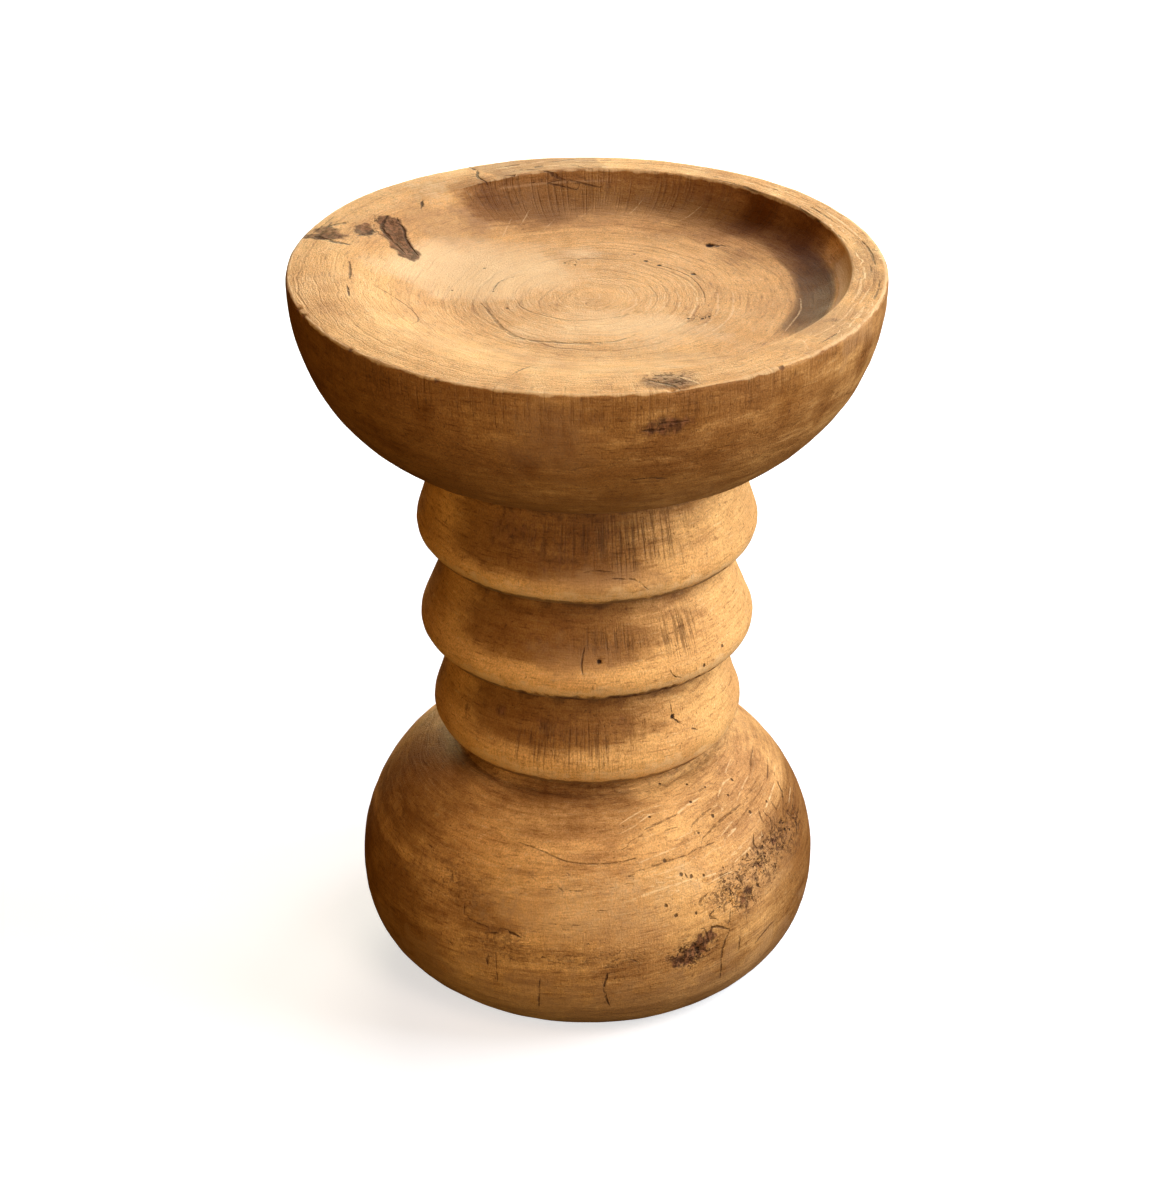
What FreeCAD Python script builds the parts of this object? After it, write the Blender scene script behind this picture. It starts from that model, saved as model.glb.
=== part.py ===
import FreeCAD, Part
import math
import os

import Sketcher
from FreeCAD import Placement, Rotation, Vector

# A free-standing pedestal table turned from solid wood: a bowl-shaped top with a shallow dish, a neck of three
# flared rings and a bulbous base. The five turned sections register on spigots and dowels, and one threaded
# rod through their bored core clamps them together. Millimetres, +Z up. The origin is the centre of the foot,
# on the surface that the table stands on.

# Every driving dimension. Radii are measured from the turning axis, and heights from the floor.
DIMENSIONS = {
    # Seams between the turned sections, each at the bottom of a V-groove, and the radius there.
    "total_height": 460,
    "foot_height": 3,
    "base_seam": 155.5,
    "lower_seam": 219.5,
    "middle_seam": 284.8,
    "top_seam": 347,
    "base_seam_radius": 69.2,
    "lower_seam_radius": 80.9,
    "middle_seam_radius": 82.4,
    "top_seam_radius": 89.4,
    # Top: the bowl leaves the rim upright and sweeps in to the top seam. The pulls set how full it is.
    "rim_radius": 177.5,
    "rim_edge_radius": 175.5,
    "rim_edge_height": 458,
    "bowl_end_height": 348.6,
    "bowl_upper_pull": 62.5,
    "bowl_lower_pull": 44.7,
    "bowl_lower_rise": 6.3,
    # Dish, turned a little off the axis of the bowl. Its wall is a cove that runs into the floor.
    "dish_offset_x": 7.5,
    "dish_offset_y": 6.7,
    "dish_edge_radius": 148.5,
    "dish_floor_radius": 121,
    "dish_floor_height": 442,
    "dish_wall_pull": 9.5,
    "dish_floor_pull": 15,
    # Neck rings: a straight flank widens downwards into a rounded bead.
    "upper_bead_centre_radius": 90.3,
    "upper_bead_centre_height": 299,
    "upper_bead_size": 13.4,
    "middle_bead_centre_radius": 88.5,
    "middle_bead_centre_height": 233.7,
    "middle_bead_size": 13.4,
    "lower_bead_centre_radius": 77,
    "lower_bead_centre_height": 174.2,
    "lower_bead_size": 18.1,
    # Base: a shoulder under the last groove, a belly and a narrower foot.
    "shoulder_radius": 81.9,
    "shoulder_height": 147.3,
    "shoulder_pull": 28.4,
    "belly_radius": 141.9,
    "belly_height": 64.3,
    "belly_upper_pull": 39.4,
    "belly_lower_pull": 33,
    "foot_radius": 114.5,
    "foot_pull_out": 16.3,
    "foot_pull_up": 13.4,
    # Spigot on the top of each section below the dished top, and the socket that fits over it.
    "spigot_radius": 45,
    "socket_radius": 45.2,
    "spigot_length": 10,
    "socket_depth": 10.5,
    # Clamping hardware on the axis.
    "core_bore_radius": 6.5,
    "rod_radius": 6,
    "thread_bore_radius": 6.05,
    "rod_bottom": 25,
    "rod_top": 384,
    "rod_chamfer": 1,
    "insert_radius": 9,
    "insert_bore_radius": 9.05,
    "insert_length": 30,
    "insert_chamfer": 1,
    "insert_slot_width": 3,
    "insert_slot_depth": 3,
    "counterbore_radius": 22,
    "counterbore_top": 43,
    "washer_radius": 18.5,
    "washer_thickness": 3,
    "nut_corner_radius": 10.39,
    "nut_face_chamfer": 1,
    "nut_height": 10,
    # Dowels across each seam, and the felt pads under the foot.
    "dowel_circle_radius": 57,
    "dowel_radius": 5,
    "dowel_hole_radius": 5.1,
    "dowel_length": 30,
    "dowel_hole_depth": 15.5,
    "dowel_chamfer": 1,
    "pad_circle_radius": 88,
    "pad_radius": 15,
    "pad_edge_round": 0.6,
}
SEAMS = ("base_seam", "lower_seam", "middle_seam", "top_seam")
PAD_COUNT = 4
ON_AXIS = ""
CYLINDER_RIMS = (1, 3)
CYLINDER_LOWER_RIM = 3
PARTS_FOLDER = "parts"

doc = FreeCAD.newDocument("PedestalTable")
sheet = doc.addObject("Spreadsheet::Sheet", "Sizes")
for row, (alias, value) in enumerate(DIMENSIONS.items(), start=1):
    sheet.set(f"A{row}", alias.replace("_", " "))
    sheet.set(f"B{row}", str(value))
    sheet.setAlias(f"B{row}", alias)
doc.recompute()

subparts = []


def size(words):
    """The value of a sum of named dimensions, such as "top_seam + spigot_length". No words make 0."""
    total = 0
    sign = 1
    for word in words.split():
        if word in "+-":
            sign = 1 if word == "+" else -1
        else:
            total += sign * sheet.get(word)
    return total


def bound(words):
    """The same words as an expression on the sheet's cells."""
    return " ".join(f"Sizes.{word}" if word in DIMENSIONS else word for word in words.split())


def bind(thing, prop, words):
    thing.setExpression(prop, bound(words))


# Sketches


def origin_feature(body, role):
    return next(feature for feature in body.Origin.OriginFeatures if feature.Role == role)


def new_body(label):
    body = doc.addObject("PartDesign::Body", label)
    body.Label = label
    body.Placement = Placement(Vector(0, 0, 0), Rotation())
    subparts.append(body)
    return body


def new_sketch(body, name, role):
    sketch = body.newObject("Sketcher::SketchObject", f"{body.Label}_{name}")
    sketch.AttachmentSupport = [(origin_feature(body, role), "")]
    sketch.MapMode = "FlatFace"
    sketch.Visibility = False
    return sketch


def bind_distance(sketch, kind, geometry, vertex, words):
    """Puts a point of the sketch at a signed distance from its origin, bound to the sheet."""
    if words == ON_AXIS:
        axis = -2 if kind == "DistanceX" else -1
        sketch.addConstraint(Sketcher.Constraint("PointOnObject", geometry, vertex, axis))
        return
    index = sketch.addConstraint(Sketcher.Constraint(kind, -1, 1, geometry, vertex, size(words)))
    bind(sketch, f"Constraints[{index}]", words)


def bind_point(sketch, geometry, vertex, point):
    bind_distance(sketch, "DistanceX", geometry, vertex, point[0])
    bind_distance(sketch, "DistanceY", geometry, vertex, point[1])


def bind_radius(sketch, geometry, words):
    index = sketch.addConstraint(Sketcher.Constraint("Radius", geometry, size(words)))
    bind(sketch, f"Constraints[{index}]", words)


def at(point):
    return Vector(size(point[0]), size(point[1]), 0)


def add_line(sketch, start, end):
    return sketch.addGeometry(Part.LineSegment(start, end), False)


def add_curve(sketch, start, pulls, end):
    """A cubic curve from start to end, its two middle control points bound to the sheet."""
    poles = [start, *(at(pull) for pull in pulls), end]
    curve = sketch.addGeometry(Part.BSplineCurve(poles, None, None, False, 3, None, False), False)
    sketch.exposeInternalGeometry(curve)
    for offset, pull in enumerate(pulls, start=2):
        bind_point(sketch, curve + offset, 3, pull)
    return curve


def add_bead(sketch, start, bead):
    """A straight flank from start runs tangent into the bead's arc, which ends at the bead's lowest point."""
    centre_words = (f"{bead}_bead_centre_radius", f"{bead}_bead_centre_height")
    centre = at(centre_words)
    radius = size(f"{bead}_bead_size")
    away = start - centre
    touch_angle = math.atan2(away.y, away.x) - math.acos(radius / away.Length)
    touch = centre + Vector(math.cos(touch_angle), math.sin(touch_angle), 0) * radius
    flank = add_line(sketch, start, touch)
    circle = Part.Circle(centre, Vector(0, 0, 1), radius)
    arc = sketch.addGeometry(Part.ArcOfCircle(circle, -math.pi / 2, touch_angle), False)
    sketch.addConstraint(Sketcher.Constraint("Tangent", flank, 2, arc, 2))
    bind_point(sketch, arc, 3, centre_words)
    bind_radius(sketch, arc, f"{bead}_bead_size")
    bind_distance(sketch, "DistanceX", arc, 1, centre_words[0])
    return flank, arc, centre - Vector(0, radius, 0)


def draw_outline(sketch, steps):
    """Draws a closed half-section. Each step ends at a point and is joined to the one before it. A step is
    (radius, height) after a straight line, ("curve", pull, pull, point) or ("bead", name, point)."""
    corners = [step if len(step) == 2 else step[-1] for step in steps]
    runs = []
    for number, step in enumerate(steps):
        start = at(corners[number - 1])
        end = at(corners[number])
        if step[0] == "curve":
            first = last = add_curve(sketch, start, step[1:3], end)
        elif step[0] == "bead":
            first, arc, low = add_bead(sketch, start, step[1])
            last = add_line(sketch, low, end)
            sketch.addConstraint(Sketcher.Constraint("Coincident", arc, 1, last, 1))
        else:
            first = last = add_line(sketch, start, end)
        runs.append((first, last))
    for number, (first, _) in enumerate(runs):
        before = runs[number - 1][1]
        sketch.addConstraint(Sketcher.Constraint("Coincident", before, 2, first, 1))
        bind_point(sketch, first, 1, corners[number - 1])
    doc.recompute()


# Features


def revolve(body, steps):
    """The turned blank of a section, from its half-section in the XZ plane."""
    sketch = new_sketch(body, "outline", "XZ_Plane")
    draw_outline(sketch, steps)
    turned = body.newObject("PartDesign::Revolution", f"{body.Label}_turned")
    turned.Profile = sketch
    turned.ReferenceAxis = (sketch, ["V_Axis"])
    turned.Angle = 360
    doc.recompute()


def cut_away(body, feature, what):
    """Makes a cut the last step of its body, and makes sure that it took material off."""
    before = body.Shape.Volume
    body.Tip = feature
    doc.recompute()
    if not body.Shape.Volume < before - 1:
        raise RuntimeError(f"{what} cuts nothing from {body.Label}")


def drill_dowel_holes(body, seam, upwards):
    """Two blind dowel holes in a seam face, on opposite sides of the axis."""
    name = f"{body.Label}_{seam}_dowel"
    undrilled = body.Shape.Volume
    sketch = new_sketch(body, f"{seam}_dowel_mark", "XY_Plane")
    bind(sketch, "AttachmentOffset.Base.z", seam)
    centre = at(("dowel_circle_radius", ON_AXIS))
    circle = sketch.addGeometry(Part.Circle(centre, Vector(0, 0, 1), size("dowel_hole_radius")), False)
    bind_point(sketch, circle, 3, ("dowel_circle_radius", ON_AXIS))
    bind_radius(sketch, circle, "dowel_hole_radius")
    doc.recompute()
    hole = body.newObject("PartDesign::Pocket", f"{name}_hole")
    hole.Profile = sketch
    hole.Reversed = upwards
    bind(hole, "Length", "dowel_hole_depth")
    cut_away(body, hole, "a dowel hole")
    pair = body.newObject("PartDesign::PolarPattern", f"{name}_holes")
    pair.Originals = [hole]
    pair.Axis = (origin_feature(body, "Z_Axis"), [""])
    pair.Angle = 360
    pair.Occurrences = 2
    cut_away(body, pair, "the pair of dowel holes")
    drilled = undrilled - body.Shape.Volume
    wanted = 2 * math.pi * size("dowel_hole_radius") ** 2 * size("dowel_hole_depth")
    if abs(drilled - wanted) > wanted / 100:
        raise RuntimeError(f"the dowel holes of {body.Label} take {drilled:.0f} mm3 and not {wanted:.0f}")


def primitive(kind, name, **sizes):
    """A Part primitive whose sizes are bound to the sheet."""
    thing = doc.addObject(f"Part::{kind}", name)
    for prop, words in sizes.items():
        bind(thing, prop, words)
    return thing


def edge_cut(kind, thing, edges, words):
    """A chamfer or fillet of one named size on numbered edges of a primitive."""
    doc.recompute()
    cut = doc.addObject(f"Part::{kind}", f"{thing.Name}_{kind.lower()}")
    cut.Base = thing
    cut.Edges = [(edge, size(words), size(words)) for edge in edges]
    return cut


# Turned sections


def make_dished_top():
    body = new_body("dished_top")
    bore_end = "top_seam + socket_depth + insert_length"
    revolve(
        body,
        [
            ("insert_bore_radius", bore_end),
            ("insert_bore_radius", "top_seam + socket_depth"),
            ("socket_radius", "top_seam + socket_depth"),
            ("socket_radius", "top_seam"),
            ("top_seam_radius", "top_seam"),
            ("top_seam_radius", "bowl_end_height"),
            (
                "curve",
                ("top_seam_radius + bowl_lower_pull", "bowl_end_height + bowl_lower_rise"),
                ("rim_radius", "rim_edge_height - bowl_upper_pull"),
                ("rim_radius", "rim_edge_height"),
            ),
            ("rim_edge_radius", "total_height"),
            (ON_AXIS, "total_height"),
            (ON_AXIS, bore_end),
        ],
    )
    cut_dish(body)
    drill_dowel_holes(body, "top_seam", upwards=True)


def cut_dish(body):
    """The dish: a flat floor, a coved wall and a crisp edge, turned about an axis of its own."""
    clear_above = "total_height + foot_height"
    sketch = new_sketch(body, "dish", "XZ_Plane")
    bind(sketch, "AttachmentOffset.Base.x", "dish_offset_x")
    bind(sketch, "AttachmentOffset.Base.z", "- dish_offset_y")
    draw_outline(
        sketch,
        [
            (ON_AXIS, clear_above),
            (ON_AXIS, "dish_floor_height"),
            ("dish_floor_radius", "dish_floor_height"),
            (
                "curve",
                ("dish_floor_radius + dish_floor_pull", "dish_floor_height"),
                ("dish_edge_radius", "total_height - dish_wall_pull"),
                ("dish_edge_radius", "total_height"),
            ),
            ("dish_edge_radius", clear_above),
        ],
    )
    dish = body.newObject("PartDesign::Groove", "dished_top_dish_cut")
    dish.Profile = sketch
    dish.ReferenceAxis = (sketch, ["V_Axis"])
    dish.Angle = 360
    cut_away(body, dish, "the dish")


def make_neck_ring(name, low_seam, high_seam):
    """One ring: a spigot on top, a flared flank, a bead, and a socket in its underside."""
    body = new_body(f"{name}_neck_ring")
    revolve(
        body,
        [
            ("core_bore_radius", f"{low_seam} + socket_depth"),
            ("core_bore_radius", f"{high_seam} + spigot_length"),
            ("spigot_radius", f"{high_seam} + spigot_length"),
            ("spigot_radius", high_seam),
            (f"{high_seam}_radius", high_seam),
            ("bead", name, (f"{low_seam}_radius", low_seam)),
            ("socket_radius", low_seam),
            ("socket_radius", f"{low_seam} + socket_depth"),
        ],
    )
    drill_dowel_holes(body, low_seam, upwards=True)
    drill_dowel_holes(body, high_seam, upwards=False)


def make_pedestal_base():
    body = new_body("pedestal_base")
    revolve(
        body,
        [
            ("core_bore_radius", "base_seam + spigot_length"),
            ("core_bore_radius", "counterbore_top"),
            ("counterbore_radius", "counterbore_top"),
            ("counterbore_radius", "foot_height"),
            ("foot_radius", "foot_height"),
            (
                "curve",
                ("foot_radius + foot_pull_out", "foot_height + foot_pull_up"),
                ("belly_radius", "belly_height - belly_lower_pull"),
                ("belly_radius", "belly_height"),
            ),
            (
                "curve",
                ("belly_radius", "belly_height + belly_upper_pull"),
                ("shoulder_radius + shoulder_pull", "shoulder_height"),
                ("shoulder_radius", "shoulder_height"),
            ),
            ("base_seam_radius", "base_seam"),
            ("spigot_radius", "base_seam"),
            ("spigot_radius", "base_seam + spigot_length"),
        ],
    )
    drill_dowel_holes(body, "base_seam", upwards=False)


# Clamping hardware on the axis


def make_tie_rod():
    """A threaded rod, drawn at its outside diameter."""
    revolve(
        new_body("tie_rod"),
        [
            (ON_AXIS, "rod_bottom"),
            ("rod_radius - rod_chamfer", "rod_bottom"),
            ("rod_radius", "rod_bottom + rod_chamfer"),
            ("rod_radius", "rod_top - rod_chamfer"),
            ("rod_radius - rod_chamfer", "rod_top"),
            (ON_AXIS, "rod_top"),
        ],
    )


def make_top_insert():
    """The threaded sleeve in the top, with a screwdriver slot across its open end."""
    body = new_body("top_insert")
    mouth = "top_seam + socket_depth"
    revolve(
        body,
        [
            ("thread_bore_radius", mouth),
            ("insert_radius - insert_chamfer", mouth),
            ("insert_radius", f"{mouth} + insert_chamfer"),
            ("insert_radius", f"{mouth} + insert_length"),
            ("thread_bore_radius", f"{mouth} + insert_length"),
        ],
    )
    sketch = new_sketch(body, "slot_mark", "XY_Plane")
    bind(sketch, "AttachmentOffset.Base.z", mouth)
    draw_slot(sketch)
    slot = body.newObject("PartDesign::Pocket", "top_insert_slot")
    slot.Profile = sketch
    slot.Reversed = True
    bind(slot, "Length", "insert_slot_depth")
    cut_away(body, slot, "the screwdriver slot")


def draw_slot(sketch):
    """A rectangle centred on the origin that runs past both sides of the insert."""
    reach = size("insert_radius + insert_chamfer")
    half = size("insert_slot_width") / 2
    corners = [Vector(-reach, -half, 0), Vector(reach, -half, 0), Vector(reach, half, 0), Vector(-reach, half, 0)]
    sides = [add_line(sketch, start, end) for start, end in zip(corners, corners[1:] + corners[:1])]
    for before, after in zip(sides, sides[1:] + sides[:1]):
        sketch.addConstraint(Sketcher.Constraint("Coincident", before, 2, after, 1))
    for kind, first in (("Horizontal", 0), ("Vertical", 1)):
        for side in sides[first::2]:
            sketch.addConstraint(Sketcher.Constraint(kind, side))
    sketch.addConstraint(Sketcher.Constraint("Symmetric", sides[0], 1, sides[1], 2, -1, 1))
    bind_distance(sketch, "DistanceX", sides[1], 1, "insert_radius + insert_chamfer")
    width = sketch.addConstraint(Sketcher.Constraint("DistanceY", sides[1], 1, sides[1], 2, 2 * half))
    bind(sketch, f"Constraints[{width}]", "insert_slot_width")
    doc.recompute()


def make_clamp_washer():
    underside = "counterbore_top - washer_thickness"
    revolve(
        new_body("clamp_washer"),
        [
            ("core_bore_radius", underside),
            ("washer_radius", underside),
            ("washer_radius", "counterbore_top"),
            ("core_bore_radius", "counterbore_top"),
        ],
    )


def make_clamp_nut():
    """A hexagon nut, its corners turned down on both faces."""
    hexagon = primitive("Prism", "nut_hexagon", Circumradius="nut_corner_radius", Height="nut_height")
    hexagon.Polygon = 6
    blank = primitive("Cylinder", "nut_blank", Radius="nut_corner_radius", Height="nut_height")
    bore = primitive("Cylinder", "nut_bore", Radius="thread_bore_radius", Height="nut_height")
    for thing in (hexagon, blank, bore):
        bind(thing, "Placement.Base.z", "counterbore_top - washer_thickness - nut_height")
    shaped = doc.addObject("Part::Common", "nut_shaped")
    shaped.Base = hexagon
    shaped.Tool = edge_cut("Chamfer", blank, CYLINDER_RIMS, "nut_face_chamfer")
    nut = doc.addObject("Part::Cut", "clamp_nut")
    nut.Base = shaped
    nut.Tool = bore
    nut.Label = "clamp_nut"
    subparts.append(nut)


# Repeated small pieces: each kind is one sub-part with a solid for every piece


def group(label, pieces):
    together = doc.addObject("Part::Compound", label)
    together.Links = pieces
    together.Label = label
    subparts.append(together)


def make_locating_dowels():
    """Two dowels across every seam, each standing on the bottom of its lower hole."""
    dowels = []
    for seam in SEAMS:
        for side, sign in (("right", ""), ("left", "- ")):
            dowel = primitive("Cylinder", f"{seam}_{side}_dowel", Radius="dowel_radius", Height="dowel_length")
            bind(dowel, "Placement.Base.x", f"{sign}dowel_circle_radius")
            bind(dowel, "Placement.Base.z", f"{seam} - dowel_hole_depth")
            dowels.append(edge_cut("Chamfer", dowel, CYLINDER_RIMS, "dowel_chamfer"))
    group("locating_dowels", dowels)


def make_felt_pads():
    """Round pads spaced evenly under the foot, the lower edge of each a little rounded."""
    pads = []
    for number in range(PAD_COUNT):
        angle = 360 / PAD_COUNT * (number + 0.5)
        pad = primitive("Cylinder", f"pad_{number + 1}", Radius="pad_radius", Height="foot_height")
        bind(pad, "Placement.Base.x", f"pad_circle_radius * cos({angle})")
        bind(pad, "Placement.Base.y", f"pad_circle_radius * sin({angle})")
        pads.append(edge_cut("Fillet", pad, (CYLINDER_LOWER_RIM,), "pad_edge_round"))
    group("felt_pads", pads)


def check_and_write():
    """Writes every sub-part, once the whole document is sound."""
    doc.recompute()
    for thing in doc.Objects:
        if "Invalid" in thing.State or "Error" in thing.State:
            raise RuntimeError(f"{thing.Label} failed: {thing.State}")
    for subpart in subparts:
        if subpart.Shape.isNull() or not subpart.Shape.isValid():
            raise RuntimeError(f"{subpart.Label} has no valid shape")
    os.makedirs(PARTS_FOLDER, exist_ok=True)
    for subpart in subparts:
        box = subpart.Shape.BoundBox
        print(
            f"{subpart.Label}: {len(subpart.Shape.Solids)} solid(s), {subpart.Shape.Volume / 1000:.1f} cm3, "
            f"{box.XLength:.1f} x {box.YLength:.1f} x {box.ZLength:.1f} mm from z {box.ZMin:.1f}"
        )
        subpart.Shape.exportStep(f"{PARTS_FOLDER}/{subpart.Label}.step")


make_dished_top()
make_neck_ring("upper", "middle_seam", "top_seam")
make_neck_ring("middle", "lower_seam", "middle_seam")
make_neck_ring("lower", "base_seam", "lower_seam")
make_pedestal_base()
make_tie_rod()
make_top_insert()
make_clamp_washer()
make_clamp_nut()
make_locating_dowels()
make_felt_pads()
check_and_write()
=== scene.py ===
"""Looks of a turned solid-wood pedestal table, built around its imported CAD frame.

The five turned sections are rebuilt as fine meshes with tool marks, chips, pits and cracks, and share one
procedural wood. The clamping hardware and the felt pads keep their CAD shape and get their own materials.
Lengths here are millimetres and angles are degrees, round +Z from +X, so -90 faces the camera. Blender's own
metres come from MM.
"""
import math

import bpy
import numpy as np
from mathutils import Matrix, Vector


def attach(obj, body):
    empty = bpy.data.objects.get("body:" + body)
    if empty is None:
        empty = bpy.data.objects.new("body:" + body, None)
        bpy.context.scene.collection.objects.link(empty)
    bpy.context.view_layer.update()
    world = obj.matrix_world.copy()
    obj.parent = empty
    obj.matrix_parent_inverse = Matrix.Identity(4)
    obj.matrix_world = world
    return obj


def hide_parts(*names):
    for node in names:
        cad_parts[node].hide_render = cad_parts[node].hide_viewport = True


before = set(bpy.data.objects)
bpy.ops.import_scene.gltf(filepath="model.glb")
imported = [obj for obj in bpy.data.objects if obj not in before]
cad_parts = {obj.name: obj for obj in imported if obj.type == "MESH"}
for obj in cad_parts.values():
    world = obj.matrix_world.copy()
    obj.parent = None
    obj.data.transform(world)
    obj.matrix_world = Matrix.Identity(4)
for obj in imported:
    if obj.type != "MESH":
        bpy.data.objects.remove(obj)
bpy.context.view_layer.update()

MM = 0.001

CAMERA_DISTANCE = 2437
CAMERA_ELEVATION = 28.24
CAMERA_PIVOT_HEIGHT = 230
CAMERA_AIM_HEIGHT = 239.5
CAMERA_LENS = 118.94
LIGHT_DISTANCE = 2200
FLOOR_REACH = 9000

# The largest edge on a hidden surface. Visible ones have their own, finer step.
HIDDEN = 7.0

# The middle of the tree's growth rings, and the middle of the dish, which was turned off centre
PITH = (5.0, -6.0)
DISH_CENTRE = (7.5, 6.7)

LEVELS = {"foot": 3.0, "base": 155.5, "lower": 219.5, "middle": 284.8, "top": 347.0, "rim": 460.0}
SEAM_RADII = {"base": 69.2, "lower": 80.9, "middle": 82.4, "top": 89.4}
BEADS = {"upper": (90.3, 299.0, 13.4), "middle": (88.5, 233.7, 13.4), "lower": (77.0, 174.2, 18.1)}
# Below this angle a bead runs straight down to a crisp lip, this share of its size below its middle
BEAD_STRAIGHT = -42
BEAD_LIP = 0.885
SPIGOT_RADIUS = 45.0
SPIGOT_LENGTH = 10.0
SOCKET_RADIUS = 45.2
SOCKET_DEPTH = 10.5
CORE_BORE_RADIUS = 6.5
INSERT_BORE_RADIUS = 9.05
INSERT_BORE_LENGTH = 30.0
# An open outline starts and ends here, and a flat cap closes it
MIDDLE_RADIUS = 2.0
RIM_RADIUS = 177.5
DISH_RADIUS = 148.5
DISH_FLOOR = 442.0


# ---------------------------------------------------------------- camera, floor and light


def toward(azimuth, elevation):
    turn = math.radians(azimuth)
    rise = math.radians(elevation)
    return Vector((math.cos(rise) * math.cos(turn), math.cos(rise) * math.sin(turn), math.sin(rise)))


def put_in_scene(name, data):
    thing = bpy.data.objects.new(name, data)
    bpy.context.scene.collection.objects.link(thing)
    return thing


def make_camera():
    data = bpy.data.cameras.new("camera")
    data.lens = CAMERA_LENS
    camera = put_in_scene("camera", data)
    pivot = Vector((0, 0, CAMERA_PIVOT_HEIGHT))
    aim = Vector((0, 0, CAMERA_AIM_HEIGHT))
    place = pivot + toward(-90, CAMERA_ELEVATION) * CAMERA_DISTANCE
    camera.location = place * MM
    camera.rotation_euler = (aim - place).to_track_quat("-Z", "Y").to_euler()
    bpy.context.scene.camera = camera


def make_softbox(name, azimuth, elevation, size, power, colour):
    """A square area light that faces the middle of the table."""
    data = bpy.data.lights.new(name, "AREA")
    data.shape = "SQUARE"
    data.size = size * MM
    data.energy = power
    data.color = colour
    light = put_in_scene(name, data)
    way = toward(azimuth, elevation)
    light.location = (Vector((0, 0, CAMERA_AIM_HEIGHT)) + way * LIGHT_DISTANCE) * MM
    light.rotation_euler = way.to_track_quat("Z", "Y").to_euler()


def make_floor():
    """A pale plane that casts no colour or reflection on the table."""
    reach = FLOOR_REACH * MM
    corners = [(x * reach, y * reach, 0) for x, y in ((-1, -1), (1, -1), (1, 1), (-1, 1))]
    mesh = bpy.data.meshes.new("floor")
    mesh.from_pydata(corners, [], [(0, 1, 2, 3)])
    floor = put_in_scene("floor", mesh)
    floor.visible_diffuse = False
    floor.visible_glossy = False
    material = bpy.data.materials.new("floor")
    material.use_nodes = True
    shader = material.node_tree.nodes["Principled BSDF"]
    shader.inputs["Base Color"].default_value = (0.60, 0.68, 0.92, 1)
    shader.inputs["Roughness"].default_value = 0.9
    shader.inputs["Emission Color"].default_value = (1, 1, 1, 1)
    shader.inputs["Emission Strength"].default_value = 0.62
    mesh.materials.append(material)


def make_world():
    """Pale where the camera looks at it, and a dim warm fill for everything that it lights."""
    world = bpy.data.worlds.new("studio")
    world.use_nodes = True
    graph = Graph(world.node_tree)
    shader = world.node_tree.nodes["Background"]
    seen = graph.add("LightPath").outputs["Is Camera Ray"]
    graph.set(shader, "Color", graph.mix(seen, WORLD_FILL, (0.95, 0.95, 0.95)))
    shader.inputs["Strength"].default_value = 1.0
    bpy.context.scene.world = world
    bpy.context.scene.view_settings.view_transform = "Standard"


def light_scene():
    for light in SOFTBOXES:
        make_softbox(*light)


WORLD_FILL = (0.014, 0.007, 0.001)
SOFTBOXES = [
    ("key", -4, 28, 1100, 44, (1.0, 0.97, 0.80)),
    ("back_right", 40, 35, 1100, 19, (1.0, 0.85, 0.78)),
    ("back", 88, 28, 1300, 14, (1.0, 0.72, 0.60)),
    ("low_back", 90, 8, 1300, 45, (1.0, 0.88, 0.45)),
    ("front_right", -50, 12, 800, 12, (1.0, 0.80, 0.66)),
    ("low_front", -88, 2, 900, 17, (1.0, 0.72, 0.28)),
    ("high_front", -66, 52, 900, 12, (1.0, 0.70, 0.42)),
    ("left", -160, 14, 900, 7.0, (1.0, 0.40, 0.02)),
]


# ---------------------------------------------------------------- numbers for shapes


def lattice_noise(points, seed):
    """Smooth random values from -1 to 1, at points given in cells of a lattice."""
    cell = np.floor(points).astype(np.int64)
    part = points - cell
    part = part * part * (3 - 2 * part)
    total = np.zeros(len(points))
    for corner in np.ndindex(2, 2, 2):
        x, y, z = (cell + corner).T
        mixed = x * 73856093 ^ y * 19349663 ^ z * 83492791 ^ seed * 26544357
        mixed = (mixed ^ (mixed >> 13)) * 1274126177 & 0xFFFFFFFF
        mixed = (mixed ^ (mixed >> 15)) * 668265263 & 0xFFFFFFFF
        value = (mixed >> 8 & 0xFFFF) / 32767.5 - 1
        total += value * np.prod(np.where(corner, part, 1 - part), axis=1)
    return total


def layered_noise(points, seed, layers=3):
    total = np.zeros(len(points))
    for layer in range(layers):
        total += lattice_noise(points * 2**layer, seed + layer) / 2**layer
    return total


def smooth_step(low, high, value):
    part = np.clip((value - low) / (high - low), 0, 1)
    return part * part * (3 - 2 * part)


def line(start, end, step=HIDDEN):
    """Points about a step apart from start, without the end."""
    start = np.array(start, float)
    end = np.array(end, float)
    count = max(1, math.ceil(np.linalg.norm(end - start) / step))
    share = np.linspace(0, 1, count, endpoint=False)[:, None]
    return start + (end - start) * share


def arc(centre, radius, first, last, step):
    count = max(2, math.ceil(math.radians(abs(last - first)) * radius / step))
    turn = np.radians(np.linspace(first, last, count, endpoint=False))
    return np.array(centre) + radius * np.stack([np.cos(turn), np.sin(turn)], axis=1)


def on_circle(centre, radius, angle):
    turn = math.radians(angle)
    return np.array(centre) + radius * np.array([math.cos(turn), math.sin(turn)])


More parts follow.
